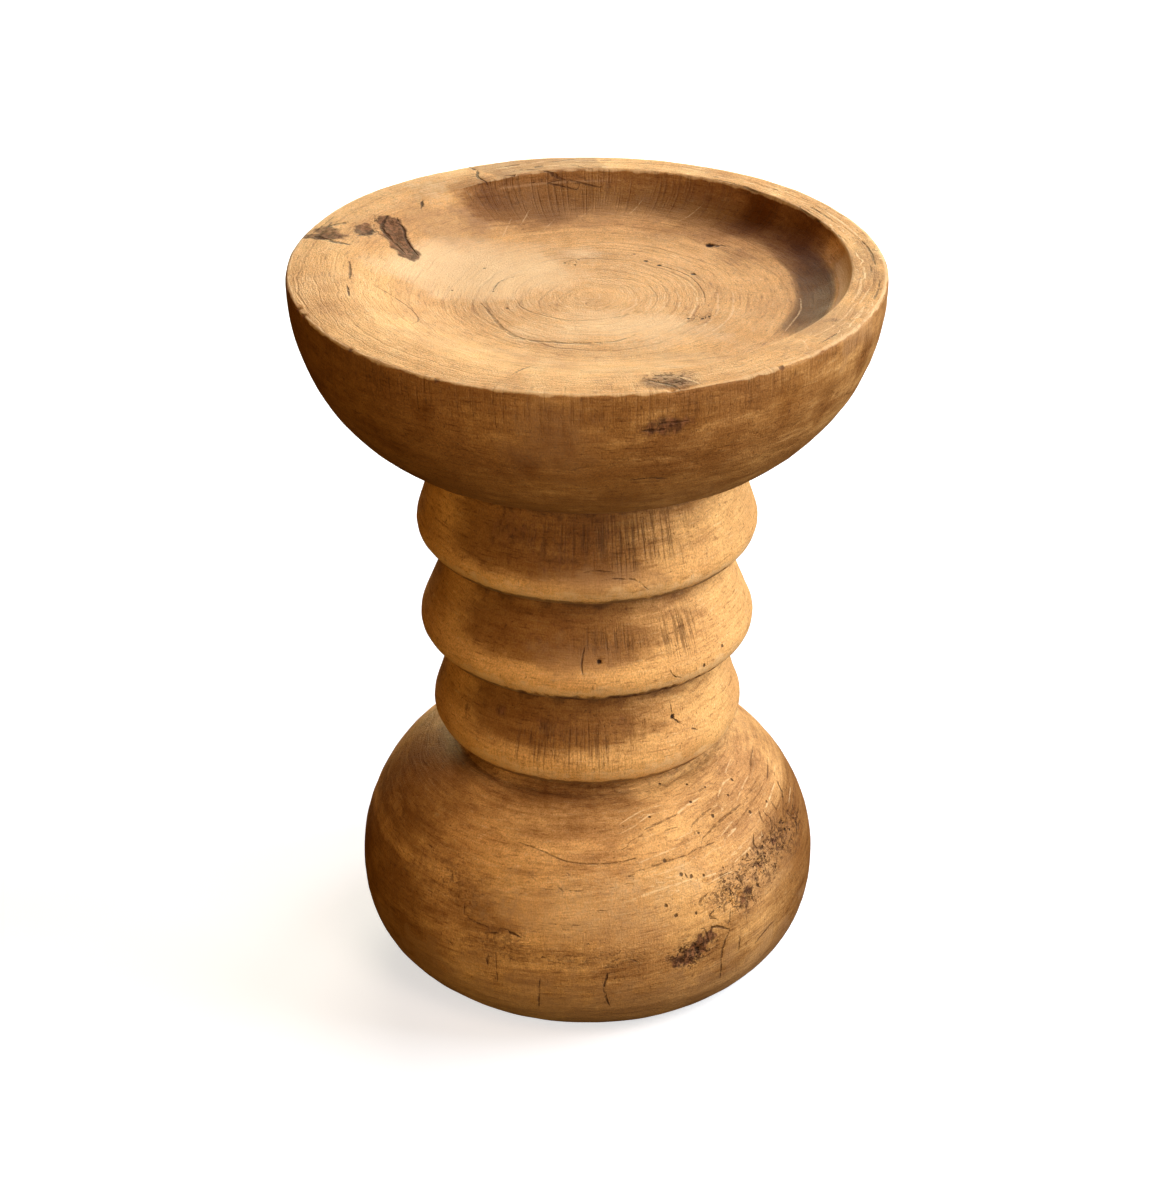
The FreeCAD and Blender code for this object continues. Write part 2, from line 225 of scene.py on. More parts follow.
def curve(start, pull, push, end, step):
    """Points about a step apart on a cubic curve, without its end."""
    start, pull, push, end = (np.array(point, float) for point in (start, pull, push, end))
    fine = np.linspace(0, 1, 400)[:, None]
    rest = 1 - fine
    path = rest**3 * start + 3 * rest**2 * fine * pull + 3 * rest * fine**2 * push + fine**3 * end
    gone = np.concatenate([[0], np.cumsum(np.linalg.norm(np.diff(path, axis=0), axis=1))])
    wanted = np.linspace(0, gone[-1], max(2, math.ceil(gone[-1] / step)), endpoint=False)
    return np.stack([np.interp(wanted, gone, path[:, axis]) for axis in (0, 1)], axis=1)


def smooth_path(corners):
    """The corners of a path and three points between each two, on a curve that passes through them all."""
    if len(corners) < 3:
        return corners
    padded = np.vstack([2 * corners[0] - corners[1], corners, 2 * corners[-1] - corners[-2]])
    share = np.array([0, 0.25, 0.5, 0.75])[:, None]
    spans = []
    for before, start, end, after in zip(padded, padded[1:], padded[2:], padded[3:]):
        swing = (2 * before - 5 * start + 4 * end - after) * share**2
        swing = swing + (3 * (start - end) + after - before) * share**3
        spans.append(start + 0.5 * ((end - before) * share + swing))
    return np.vstack([*spans, corners[-1:]])


# ---------------------------------------------------------------- outlines: rows of radius, height and step


def rows(*stretches):
    """Joins stretches of an outline. Each is its points and its mesh step."""
    return np.vstack([np.column_stack([points, np.full(len(points), step)]) for points, step in stretches])


def hidden(*corners):
    """Straight stretches between corners, on surfaces that don't show."""
    return [(line(start, end), HIDDEN) for start, end in zip(corners, corners[1:])]


def spigot(seam_height):
    """The corners of a spigot, from its foot at the seam to the bore at its top."""
    top = seam_height + SPIGOT_LENGTH
    return (SPIGOT_RADIUS, seam_height), (SPIGOT_RADIUS, top), (CORE_BORE_RADIUS, top)


def neck_ring_outline(name, below, above, step):
    """From the bore across the socket, out to the seam, round the bead, up the flank and over the spigot."""
    low, high = LEVELS[below], LEVELS[above]
    socket_top = low + SOCKET_DEPTH
    seam = (SEAM_RADII[above], high)
    bead_radius, bead_height, bead_size = BEADS[name]
    bead = (bead_radius, bead_height)
    away = np.array(seam) - bead
    last = math.degrees(math.atan2(away[1], away[0]) - math.acos(bead_size / np.hypot(*away)))
    leave = on_circle(bead, bead_size, last)
    straight_from = on_circle(bead, bead_size, BEAD_STRAIGHT)
    fall = straight_from[1] - bead_height + BEAD_LIP * bead_size
    lip = straight_from + fall * np.array([math.tan(math.radians(BEAD_STRAIGHT)), -1])
    bore, low_seam = (CORE_BORE_RADIUS, socket_top), (SEAM_RADII[below], low)
    return rows(
        *hidden(bore, (SOCKET_RADIUS, socket_top), (SOCKET_RADIUS, low), low_seam),
        (line(low_seam, lip, step), step),
        (line(lip, straight_from, 0.6), step),
        (arc(bead, bead_size, BEAD_STRAIGHT, last, step), step),
        (line(leave, seam, step), step),
        *hidden(seam, *spigot(high), bore),
    )


def base_outline(step):
    foot, seam = LEVELS["foot"], LEVELS["base"]
    recess_radius, recess_top = 22, 43
    bore = (CORE_BORE_RADIUS, recess_top)
    seam_edge = (SEAM_RADII["base"], seam)
    foot_edge, belly, shoulder = (114.5, foot), (141.9, 64.3), (81.9, 147.3)
    return rows(
        *hidden(bore, (recess_radius, recess_top), (recess_radius, foot), foot_edge),
        (curve(foot_edge, (130.8, foot + 13.4), (belly[0], belly[1] - 33), belly, step), step),
        (curve(belly, (belly[0], belly[1] + 39.4), (shoulder[0] + 28.4, shoulder[1]), shoulder, step), step),
        (line(shoulder, seam_edge, step), step),
        *hidden(seam_edge, *spigot(seam), bore),
    )


def top_outline(step):
    """From the blind bore, over the socket, the bowl, the rim and the wall to the middle of the dish."""
    seam, rim = LEVELS["top"], LEVELS["rim"]
    ceiling = seam + SOCKET_DEPTH
    bore_top = ceiling + INSERT_BORE_LENGTH
    bowl_low = (89.4, 348.6)
    seam_edge = (SEAM_RADII["top"], seam)
    edge = 2.0
    inner = DISH_RADIUS
    floor_edge = (121, DISH_FLOOR)
    return rows(
        *hidden(
            (MIDDLE_RADIUS, bore_top), (INSERT_BORE_RADIUS, bore_top), (INSERT_BORE_RADIUS, ceiling),
            (SOCKET_RADIUS, ceiling), (SOCKET_RADIUS, seam), seam_edge,
        ),
        (line(seam_edge, bowl_low, step), step),
        (curve(bowl_low, (134.1, 354.9), (RIM_RADIUS, 395.5), (RIM_RADIUS, rim - edge), step * 1.15), step),
        (arc((RIM_RADIUS - edge, rim - edge), edge, 0, 90, 0.8), step),
        (line((RIM_RADIUS - edge, rim), (inner + edge, rim), step), step),
        (arc((inner + edge, rim - edge), edge, 90, 180, 0.8), step),
        (curve((inner, rim - edge), (inner, 450.5), (136, DISH_FLOOR), floor_edge, step * 0.8), step),
        (line(floor_edge, (MIDDLE_RADIUS, DISH_FLOOR), step), step),
    )


# ---------------------------------------------------------------- turned meshes


class Turning:
    """The vertices and faces of a turned section, before and after its surface is worked."""

    def __init__(self, outline, closed):
        step = outline[:, 2]
        round_counts = 2 * math.pi * outline[:, 0] / (1.42 * step * 12)
        self.counts = (12 * 2 ** np.ceil(np.log2(np.maximum(round_counts, 1)))).astype(int)
        self.starts = np.concatenate([[0], np.cumsum(self.counts)])
        row = np.repeat(np.arange(len(outline)), self.counts)
        index = np.arange(self.starts[-1]) - self.starts[row]
        turn = 2 * math.pi * index / self.counts[row]
        around = np.stack([np.cos(turn), np.sin(turn)], axis=1)
        self.angle = (np.degrees(turn) + 180) % 360 - 180
        self.radius = outline[row, 0]
        self.height = outline[row, 1]
        self.shows = step[row] < HIDDEN
        self.points = np.column_stack([around * self.radius[:, None], self.height])
        self.normals = self.row_normals(outline, closed)[row]
        self.normals = np.column_stack([around * self.normals[:, :1], self.normals[:, 1]])
        self.faces = self.stitch(len(outline), closed)
        self.layers = {}

    @staticmethod
    def row_normals(outline, closed):
        path = outline[:, :2]
        ahead = np.roll(path, -1, axis=0) - path
        if not closed:
            ahead[-1] = ahead[-2]
        ahead /= np.linalg.norm(ahead, axis=1)[:, None]
        behind = np.roll(ahead, 1, axis=0)
        if not closed:
            behind[0] = ahead[0]
        along = ahead + behind
        along /= np.linalg.norm(along, axis=1)[:, None]
        return np.column_stack([along[:, 1], -along[:, 0]])

    def stitch(self, row_count, closed):
        faces = []
        for low in range(row_count if closed else row_count - 1):
            faces += self.band(low, (low + 1) % row_count)
        if not closed:
            faces.append(tuple(range(self.counts[0] - 1, -1, -1)))
            faces.append(tuple(range(self.starts[-2], self.starts[-1])))
        return faces

    def band(self, low, high):
        """The faces between two rows. One row may have several times as many points as the other."""
        few, many = sorted((low, high), key=lambda row: self.counts[row])
        ratio = self.counts[many] // self.counts[few]
        step = np.arange(self.counts[many])
        many_here = self.starts[many] + step
        many_next = self.starts[many] + (step + 1) % self.counts[many]
        few_here = self.starts[few] + step // ratio
        few_next = self.starts[few] + (step // ratio + 1) % self.counts[few]
        if ratio == 1:
            corners = [few_here, few_next, many_next, many_here]
            if few == high:
                corners.reverse()
            return list(zip(*(corner.tolist() for corner in corners)))
        nearer = np.where(step % ratio < ratio // 2, few_here, few_next)
        fans = [nearer, many_next, many_here]
        middle = step[step % ratio == ratio // 2]
        gaps = [few_here[middle], few_next[middle], many_here[middle]]
        if few == high:
            fans.reverse()
            gaps.reverse()
        return list(zip(*(c.tolist() for c in fans))) + list(zip(*(c.tolist() for c in gaps)))

    def work(self, depth):
        """Cuts each shown point that deep below the surface, or raises it where depth is negative."""
        self.points -= self.normals * (depth * self.shows)[:, None]

    def on_side(self, angle, height):
        """The nearest point of the outer side to that angle and height."""
        turn = np.radians((self.angle - angle + 180) % 360 - 180)
        far = (turn * self.radius) ** 2 + (self.height - height) ** 2
        out = np.hypot(self.normals[:, 0], self.normals[:, 1]) > 0.25
        return self.nearest(np.where(self.shows & out, far, np.inf))

    def on_face(self, x, y):
        """The nearest point of the upper face to x and y."""
        far = (self.points[:, 0] - x) ** 2 + (self.points[:, 1] - y) ** 2
        return self.nearest(np.where(self.shows & (self.normals[:, 2] > 0.2), far, np.inf))

    def on_rim(self, angle, radius):
        return self.on_face(radius * math.cos(math.radians(angle)), radius * math.sin(math.radians(angle)))

    def nearest(self, far):
        at = int(np.argmin(far))
        return self.points[at].copy(), self.normals[at].copy()

    def layer(self, name):
        if name not in self.layers:
            self.layers[name] = np.zeros(len(self.points))
        return self.layers[name]

    def patch(self, name, place, size, amount=1.0, stretch=(1, 1, 1), soft=0.6, ragged=0.35):
        """Raises a layer round a place, ragged at its edge. Stretch lengthens the patch along x, y or z."""
        centre = place[0]
        away = (self.points - centre) / (np.array(stretch) * size)
        far = np.linalg.norm(away, axis=1)
        far += ragged * layered_noise(self.points / (size * 0.45 + 1), int(abs(centre).sum()) + 7, 2)
        value = self.layer(name)
        np.maximum(value, amount * (1 - smooth_step(1 - soft, 1 + soft, far)), out=value)

    def dent(self, place, size, depth, stretch=(1, 1, 1)):
        away = (self.points - place[0]) / (np.array(stretch) * size)
        far = np.linalg.norm(away, axis=1)
        near = far < 3
        shape = np.zeros(len(far))
        shape[near] = np.exp(-far[near] ** 2 * 1.4)
        self.work(depth * shape)

    def spot(self, place, size, amount=1.0):
        """A small pit, drawn finer than the mesh: each vertex keeps its offset from the pit's middle."""
        offset = (self.points - place[0]) / size
        far = np.linalg.norm(offset, axis=1) * size
        hold = 1 - smooth_step(size + 1.6, size + 4.0, far)
        better = hold > self.layer("spot_hold")
        for axis, name in enumerate(("spot_x", "spot_y", "spot_z")):
            self.layer(name)[better] = offset[better, axis]
        self.layer("spot_hold")[better] = amount * hold[better]

    def crack(self, places, width, amount=1.0):
        """A line finer than the mesh: each vertex keeps its distance to either side, in half widths."""
        hold = self.layer("line_hold")
        side = self.layer("line_side")
        path = smooth_path(np.array([place[0] for place in places]))
        out = np.array([place[1] for place in places])
        count = len(path) - 1
        box = np.all((self.points > path.min(0) - 8) & (self.points < path.max(0) + 8), axis=1)
        chosen = np.flatnonzero(box & self.shows)
        points = self.points[chosen]
        for number in range(count):
            start, end = path[number], path[number + 1]
            normal = out[round(number / count * (len(out) - 1))]
            length = np.linalg.norm(end - start)
            along = (end - start) / length
            across = np.cross(along, normal)
            across /= np.linalg.norm(across)
            gone = (points - start) @ along
            share = (number + np.clip(gone / length, 0, 1)) / count
            beyond = np.maximum(np.maximum(-gone, gone - length), 0)
            apart = (points - start) @ across
            rise = (points - start) @ normal
            taper = 0.35 + 0.65 * np.minimum(1, 4 * np.minimum(share, 1 - share) + 0.1)
            near = 1 - smooth_step(2.2 + 0.5 * width, 4.0 + 0.5 * width, np.hypot(apart, beyond))
            near *= 1 - smooth_step(0.2, 2.0, beyond)
            near *= 1 - smooth_step(4, 8, np.abs(rise))
            better = near > np.abs(hold[chosen])
            side[chosen[better]] = (apart / (0.5 * width * taper))[better]
            hold[chosen[better]] = amount * near[better]

    def build(self, name, node, material):
        mesh = bpy.data.meshes.new(name)
        mesh.from_pydata((self.points * MM).tolist(), [], self.faces)
        mesh.shade_smooth()
        mesh.set_sharp_from_angle(angle=math.radians(42))
        for layer in LAYERS:
            values = self.layer(layer).astype(np.float32)
            mesh.attributes.new(layer, "FLOAT", "POINT").data.foreach_set("value", values)
        mesh.materials.append(material)
        piece = put_in_scene(name, mesh)
        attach(piece, "root")
        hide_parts(node)
        return piece


LAYERS = (
    "stain", "torn", "chatter", "wear_and_highlight", "seam", "weathered", "bleached", "patina",
    "line_side", "line_hold", "spot_x", "spot_y", "spot_z", "spot_hold",
)


# ---------------------------------------------------------------- the five turned sections


def rough_out(part, seed, wave=0.45, tool=0.10):
    """What hand turning leaves: a slightly uneven round, and shallow grooves that run round the piece."""
    part.work(wave * layered_noise(part.points / (70, 70, 90), seed, 2))
    part.work(0.16 * layered_noise(part.points / 11, seed + 11, 2))
    level = part.height + part.radius * 0.83
    grooves = np.column_stack([level / 3.1, part.points[:, 0] / 60, part.points[:, 1] / 60])
    part.work(tool * layered_noise(grooves, seed + 23, 2))


def darken(part, amount, first=-400, last=400, low=0, high=500, soft=10, angle_soft=22):
    """Darker, browner wood between two angles and two heights: patina, and painted shade."""
    lift = smooth_step(low - soft, low + soft, part.height)
    lift *= 1 - smooth_step(high - soft, high + soft, part.height)
    value = part.layer("patina")
    np.maximum(value, amount * lift * between(part, first, last, angle_soft), out=value)


def between(part, first, last, soft=6):
    """1 between two angles, and 0 beyond them."""
    off = np.abs((part.angle - (first + last) / 2 + 180) % 360 - 180)
    half = (last - first) / 2
    return 1 - smooth_step(half - soft, half + soft, off)


def along_edge(part, name, radius, height, reach, amount=1.0, first=-400, last=400):
    """Raises a layer near a ring-shaped edge or seam, with a ragged border."""
    far = np.hypot(part.radius - radius, part.height - height)
    far += 0.45 * reach * layered_noise(part.points / 8, 31, 3)
    value = part.layer(name)
    here = amount * (1 - smooth_step(0.25 * reach, reach, far)) * part.shows
    np.maximum(value, here * between(part, first, last), out=value)


def crack_all(part, at, cracks):
    """Cracks, each given as its places, its width and its amount."""
    for places, width, amount in cracks:
        part.crack([at(*place) for place in places], width, amount)


def patch_all(part, at, patches):
    """Patches, each given as its layer and its place, then what patch takes."""
    for name, place, *rest in patches:
        part.patch(name, at(*place), *rest)


def make_top(material):
    part = Turning(top_outline(1.75), closed=False)
    move_dish(part)
    rough_out(part, 101)
    mark_rim(part)
    mark_knots(part)
    mark_dish(part)
    shade_dish(part)
    mark_bowl(part)
    part.build("turned_top", "dished_top", material)


def move_dish(part):
    """Slides the dish off centre, and eases its wall into a ramp on the left and near side."""
    upper = part.shows & (part.height > DISH_FLOOR - 1) & (part.normals[:, 2] > -0.05)
    upper &= part.radius < RIM_RADIUS - 3
    off_flank = np.abs((part.angle + 150 + 180) % 360 - 180)
    ease = (1 - smooth_step(72, 104, off_flank)) * upper
    ramp = DISH_FLOOR + (LEVELS["rim"] - DISH_FLOOR) * smooth_step(84, 170, part.radius)
    part.points[:, 2] += ease * (ramp - part.height)
    share = upper * (1 - smooth_step(DISH_RADIUS + 2, RIM_RADIUS - 3, part.radius))
    part.points[:, 0] += share * DISH_CENTRE[0]
    part.points[:, 1] += share * DISH_CENTRE[1]


def mark_rim(part):
    at = part.on_rim
    # Paler wear along the outer edge, and a painted highlight along the far inner edge of the dish
    along_edge(part, "wear_and_highlight", RIM_RADIUS - 1.5, LEVELS["rim"], 2.6, 0.7)
    along_edge(part, "wear_and_highlight", DISH_RADIUS, LEVELS["rim"], 2.6, 0.7, -20, 130)

    # A chip that runs from the dish out through the near edge
    chip = at(-73.5, 160)
    part.patch("torn", chip, 12, 0.9, (1.1, 0.9, 1), ragged=0.3)
    part.patch("patina", at(-74.5, 165), 11, 1.3, (1.2, 0.9, 1), soft=0.5)
    part.patch("stain", at(-73.0, 166), 6, 0.6, (1.3, 0.8, 1), soft=0.5)
    part.crack([at(-77.5, 160), at(-74, 168), at(-73.2, 175)], 2.4, 0.9)
    part.crack([at(-71.5, 158), at(-69.5, 168), at(-69, 174)], 1.6, -0.8)
    part.patch("weathered", chip, 15, 0.8, (1.1, 0.9, 1))
    part.dent(at(-74, 164), 9, 0.9, (1.2, 0.8, 1))
    part.dent(at(-74.7, 175.5), 2.6, 2.4)
    part.dent(at(-71.5, 176), 4.5, 1.0, (1.6, 0.6, 1))
    nicks = ((2.0, 1.6, -161), (2.2, 1.4, -157.7), (1.6, 1.0, -139), (1.8, 0.9, -118), (1.8, 0.8, -52))
    for size, depth, angle in nicks:
        edge = at(angle, RIM_RADIUS - 1)
        part.dent(edge, size, depth)
        part.patch("stain", edge, size * 1.2, 0.8)

    # Rough, greyer wood: a sector of the far rim with a sharp end, and a patch on the right
    sector = between(part, 88, 114.5, soft=1) * (part.radius > DISH_RADIUS - 2) * (part.normals[:, 2] > 0.5)
    far_rim = part.layer("weathered")
    np.maximum(far_rim, 0.9 * sector, out=far_rim)
    part.layer("patina")[:] += 0.25 * sector
    part.patch("wear_and_highlight", at(126, 163), 20, 0.6, (1.2, 1.2, 1), soft=1)
    part.patch("weathered", at(-30, 163), 22, 0.9, (1.1, 0.9, 1), ragged=0.6)
    part.patch("weathered", at(-45, 160), 10, 0.6, (1.2, 0.8, 1), ragged=0.6)
    part.patch("stain", at(-29, 161), 9, 0.5, (1.3, 0.9, 1), soft=0.8, ragged=0.6)
    part.patch("patina", at(2, 163), 24, 0.45, (0.7, 1.6, 1), soft=0.9, ragged=0.5)
    part.crack([at(114.5, 152), at(115.2, 160), at(114, 168), at(114.8, 175)], 1.8, 0.9)
    chance = np.random.default_rng(3)
    uniform = chance.uniform
    for start in np.arange(-40, 44, 1.7):
        inner = uniform(158, 168)
        rub = [at(start, inner), at(start + uniform(-5, 5), inner + uniform(5, 12))]
        part.crack(rub, uniform(0.7, 1.3), chance.choice([-0.9, -0.7, 0.7]))
    for _ in range(30):
        first, radius = uniform(-40, 52), uniform(159, 174)
        angles = np.linspace(first, first + uniform(6, 22), 4)
        arc_places = [at(angle, radius + uniform(-1.2, 1.2)) for angle in angles]
        part.crack(arc_places, uniform(0.9, 1.7), chance.choice([-0.9, -0.7, 0.6, 0.75]))
    for _ in range(26):
        start, inner = uniform(90, 112), uniform(152, 172)
        grain = [at(start, inner), at(start - uniform(4, 9), inner + uniform(-4, 4))]
        part.crack(grain, uniform(0.9, 1.8), chance.choice([-0.8, -0.6, 0.6, 0.8]))


def mark_knots(part):
    """Dark, bark-edged knots on the left of the rim, with the grain torn round them."""
    at = part.on_face
    crack_all(part, at, (
        ([(-158, 61), (-151, 66), (-144, 70)], 2.6, 0.8),
        ([(-167, 50), (-160, 45), (-152, 41), (-143, 39)], 3.4, 0.95),
        ([(-157, 60), (-160, 53), (-161, 48)], 2.2, 0.6),
        ([(-168, 45), (-162, 60), (-153, 78)], 1.2, 0.5),
        ([(-130, 82), (-128, 68), (-131, 60), (-137, 53)], 2.4, 0.85),
        ([(-102, 108), (-101, 103)], 1.8, 0.95),
        ([(-141, 13), (-140, 2), (-140, -8)], 1.0, 0.7),
        ([(-140, -23), (-139, -36)], 1.4, 0.8),
        ([(-122, 84), (-124, 70), (-119, 58), (-110, 46)], 2.2, 0.9),
        ([(-115, 84), (-112, 72), (-110, 62), (-102, 48)], 1.6, 0.9),
    ))
    part.patch("stain", at(-156, 54), 8, 0.8, (1.5, 0.9, 1), ragged=0.5)
    part.patch("stain", at(-160, 47), 7, 1.4, (1.7, 0.7, 1), soft=0.4)
    for x, y, size in ((-120, 78, 7), (-118, 70, 8), (-115, 62, 8), (-111, 54, 7.5), (-107, 46, 7)):
        part.patch("stain", at(x, y), size, 1.4, soft=0.45, ragged=0.2)
    part.patch("stain", at(-135, 62), 6, 1.3, (0.8, 1.3, 1), soft=0.5)
    for place in ((-118, 74), (-114, 60), (-109, 50), (-157, 50), (-134, 62)):
        part.dent(at(*place), 4, 0.9, (0.8, 1.5, 1))
    part.patch("weathered", at(-128, 78), 20, 0.35, (1.6, 1.0, 1), soft=0.9)


def mark_dish(part):
    at = part.on_face

    # A deep pit with its crack, smaller pits on one curved crack, and specks
    part.crack([at(86, 75), at(80, 77), at(73, 79)], 1.3, 0.95)
    part.spot(at(75, 78), 2.8)
    part.spot(at(79, 77), 1.6)
    part.dent(at(75, 78), 3.4, 1.6)
    curved_crack = ((36, 52), (44, 44), (50, 40), (61, 29), (67, 15), (69, -6), (65, -27))
    part.crack([at(*place) for place in curved_crack], 0.9, 0.5)
    small_pits = ((36, 52, 1.4), (44, 45, 1.5), (63, 32, 1.7), (59, -32, 1.2), (67, -34, 1.3), (71, -30, 1.0))
    for x, y, size in small_pits:
        part.spot(at(x, y), size)
    for x, y in ((-13, 50), (-8, 46), (-5, 54), (-55, 7), (-46, -18), (-81, 8), (28, 62), (-62, 41)):
        part.spot(at(x, y), 0.9, 0.7)

    # A strong growth ring with a lifted edge, fine cracks and light scratches
    strong_ring = [
        (-62, -12), (-58, -25), (-50, -46), (-40, -60), (-29, -66), (-10, -69), (14, -66), (27, -58)
    ]
    crack_all(part, at, (
        (strong_ring, 2.4, 0.45),
        ([(-55, 8), (-52, 20), (-44, 28)], 1.0, 0.55),
        ([(-42, -4), (-34, -22), (-10, -35), (21, -29), (32, -13)], 1.2, 0.35),
        ([(-125, -10), (-115, -17), (-104, -33), (-98, -50), (-101, -61)], 1.0, 0.5),
        ([(-36, 128), (-41, 108)], 0.8, -0.45),
        ([(-47, 112), (-53, 82)], 0.8, -0.45),
        ([(33, 140), (22, 118)], 0.8, -0.45),
        ([(71, 130), (57, 115)], 0.8, -0.45),
        ([(-20, 118), (-26, 100)], 0.8, -0.45),
        ([(2, 132), (-3, 121)], 0.8, -0.45),
        ([(12, 128), (24, 122)], 0.8, -0.45),
        ([(126, -5), (125, -20), (120, -37), (113, -54)], 1.0, -0.6),
    ))
    for radius, spread in ((24, 30), (33, 24), (41, 30), (50, 34), (60, 26), (73, 22), (82, 24)):
        turns = np.linspace(-spread, spread * 0.8, 5) - 12
        part.crack([at(*on_circle(PITH, radius, turn)) for turn in turns], 1.5, -0.55)

    # A painted sheen on the left, partly pale wood from bleaching, and painted light over the floor; a grey
    # stain beyond it, and browner wood up the far wall, partly painted shade
    part.patch("bleached", at(-62, 38), 46, 1.0, (1.3, 0.9, 1), soft=1)
    part.patch("bleached", at(8, 6), 105, 0.38, soft=0.8, ragged=0.3)
    part.patch("bleached", at(14, -46), 42, 0.7, (1.5, 0.7, 1), soft=0.9)
    part.patch("weathered", at(-86, 92), 22, 0.8, (1.3, 1.0, 1), soft=0.8)
    part.patch("weathered", at(0, 128), 24, 0.6, (3.2, 0.9, 1), soft=0.9)
    part.patch("patina", at(-55, 120), 24, 0.7, (1.6, 1.0, 1), soft=0.8)
    part.patch("patina", at(60, 96), 24, 0.5, (1.2, 0.9, 1), soft=0.9)
    part.patch("patina", at(88, 62), 16, 0.5, (1.0, 0.8, 1), soft=0.9)
    part.patch("stain", at(-80, 100), 12, 0.35, (1.5, 1, 1), soft=0.9)
    part.patch("torn", at(65, -33), 7, 0.4, (1.6, 0.8, 1))


def inside_dish(part):
    return (part.height > DISH_FLOOR - 1) & (part.radius < DISH_RADIUS + 1) & (part.normals[:, 2] > -0.1)


def shade_dish(part):
    """Painted shade up the dish's wall, partly browner wood, and a painted highlight, paler and greyer, at
    the top of the wall on the right.
    """
    foot = smooth_step(108, 140, part.radius)
    low_wall = smooth_step(114, 121, part.radius) * (1 - smooth_step(136, 141, part.radius))
    # Painted shade on the far wall, on the right wall that faces away from the light, and on the near side of
    # the floor
    brown_and_shade = 0.9 * foot * between(part, 44, 124, 6)
    brown_and_shade += 1.9 * low_wall * between(part, -26, 20, 10) + 1.5 * foot * between(part, 20, 50, 8)
    brown_and_shade += 0.25 * smooth_step(60, 100, part.radius) * between(part, -140, -40, 30)
    here = inside_dish(part)
    for name, value in (
        ("patina", brown_and_shade),
        ("weathered", 0.8 * smooth_step(139, 143, part.radius) * between(part, -40, 14, 8)),
        ("wear_and_highlight", 0.9 * smooth_step(140, 143, part.radius) * between(part, -38, 10, 6)),
        ("chatter", 0.45 * foot * between(part, 40, 124, 8)),
    ):
        part.layer(name)[here] += value[here]


def mark_bowl(part):
    at = part.on_side
    # Patina and painted shade over the bowl's outside: darker on its left side, and lighter on its right as a
    # painted highlight
    outside = (part.normals[:, 2] < 0.75) & ~inside_dish(part)
    patina = 0.85 + 0.5 * between(part, -200, -122, 16) - 0.2 * between(part, -38, 20, 16)
    part.layer("patina")[outside] = patina[outside]
    along_edge(part, "seam", SEAM_RADII["top"], LEVELS["top"], 4)
    along_edge(part, "chatter", RIM_RADIUS, LEVELS["rim"] - 10, 16, 0.35, -140, -20)
    crack_all(part, at, (
        ([(-106.2, 446), (-106.6, 437)], 1.2, 0.75),
        ([(-79.5, 436.5), (-77, 436.5), (-74, 437.5)], 2.0, 0.75),
        ([(-76.8, 439.5), (-74, 440.5), (-71.5, 440)], 1.6, 0.5),
        ([(-80.7, 401), (-77.5, 400.5), (-74.3, 399)], 1.1, 0.7),
    ))
    part.patch("stain", at(-75.5, 439), 10, 0.72, (1.5, 1, 0.7), soft=0.6)
    part.patch("stain", at(-73, 447), 8, 0.4, (1.2, 1, 1.2), soft=0.9)

    # Browner blotches under the rim, kept off its upper face
    face = part.normals[:, 2] > 0.75
    face_patina = part.layer("patina")[face]
    for angle, height, size, amount in (
        (-96, 432, 17, 1.7), (-102, 416, 14, 1.6), (-72, 440, 15, 1.3), (-84, 444, 12, 1.25),
        (-50, 436, 14, 1.4), (-122, 436, 15, 1.6), (-64, 412, 16, 1.3), (-82, 388, 18, 1.3),
        (-38, 420, 14, 1.15), (-24, 436, 12, 1.2),
    ):
        part.patch("patina", at(angle, height), size, amount, (1.0, 1.0, 1.4), soft=0.9)
    part.layer("patina")[face] = face_patina
    part.patch("weathered", at(-97, 430), 26, 0.6, (1.0, 1, 1.5), soft=0.9)
    part.patch("stain", at(-49, 437), 6, 0.35, (0.7, 0.7, 3), soft=0.9)
    for angle, height, size in ((-30, 440, 13), (-20, 425, 12), (-38, 418, 14), (-12, 410, 12)):
        part.dent(at(angle, height), size, 0.8)


def make_neck_ring(name, node, below, above, seed, material, marks):
    part = Turning(neck_ring_outline(name, below, above, 1.05), closed=True)
    rough_out(part, seed, wave=0.3)
    bead_radius, bead_height, bead_size = BEADS[name]
    # Painted shade on the bead's underside, in the groove under its lip, and just below the ring above, with
    # the dark joint between them
    underside = part.shows & (part.normals[:, 2] < -0.75)
    part.layer("seam")[underside] = 1
    along_edge(part, "seam", bead_radius + bead_size * 0.62, bead_height - bead_size * 0.79, 5, 1.0)
    along_edge(part, "seam", SEAM_RADII[above], LEVELS[above], 11, 0.9)
    # A painted highlight on the front of the bead, partly wear
    along_edge(part, "wear_and_highlight", bead_radius + bead_size * 0.9, bead_height - bead_size * 0.4, 9, 0.55)
    # Painted shade on the flank, partly dirt: heaviest on the near left, and also on the far left and under
    # the bead above
    flank = bead_height + bead_size * 0.35
    flank += {"upper": 0, "middle": 6, "lower": 2}[name]
    darken(part, 1.35, -140, -70, flank + 2, 500, 9, 20)
    darken(part, 0.9, -76, -60, flank + 3, 500, 9)
    darken(part, 0.35, -60, -40, flank + 8, 500, 8)
    darken(part, 0.5, 60, 200, flank, 500, 9)
    darken(part, 0.7, -70, 30, LEVELS[above] - 12, 500, 6)
    marks(part)
    part.build("turned_" + node, node, material)


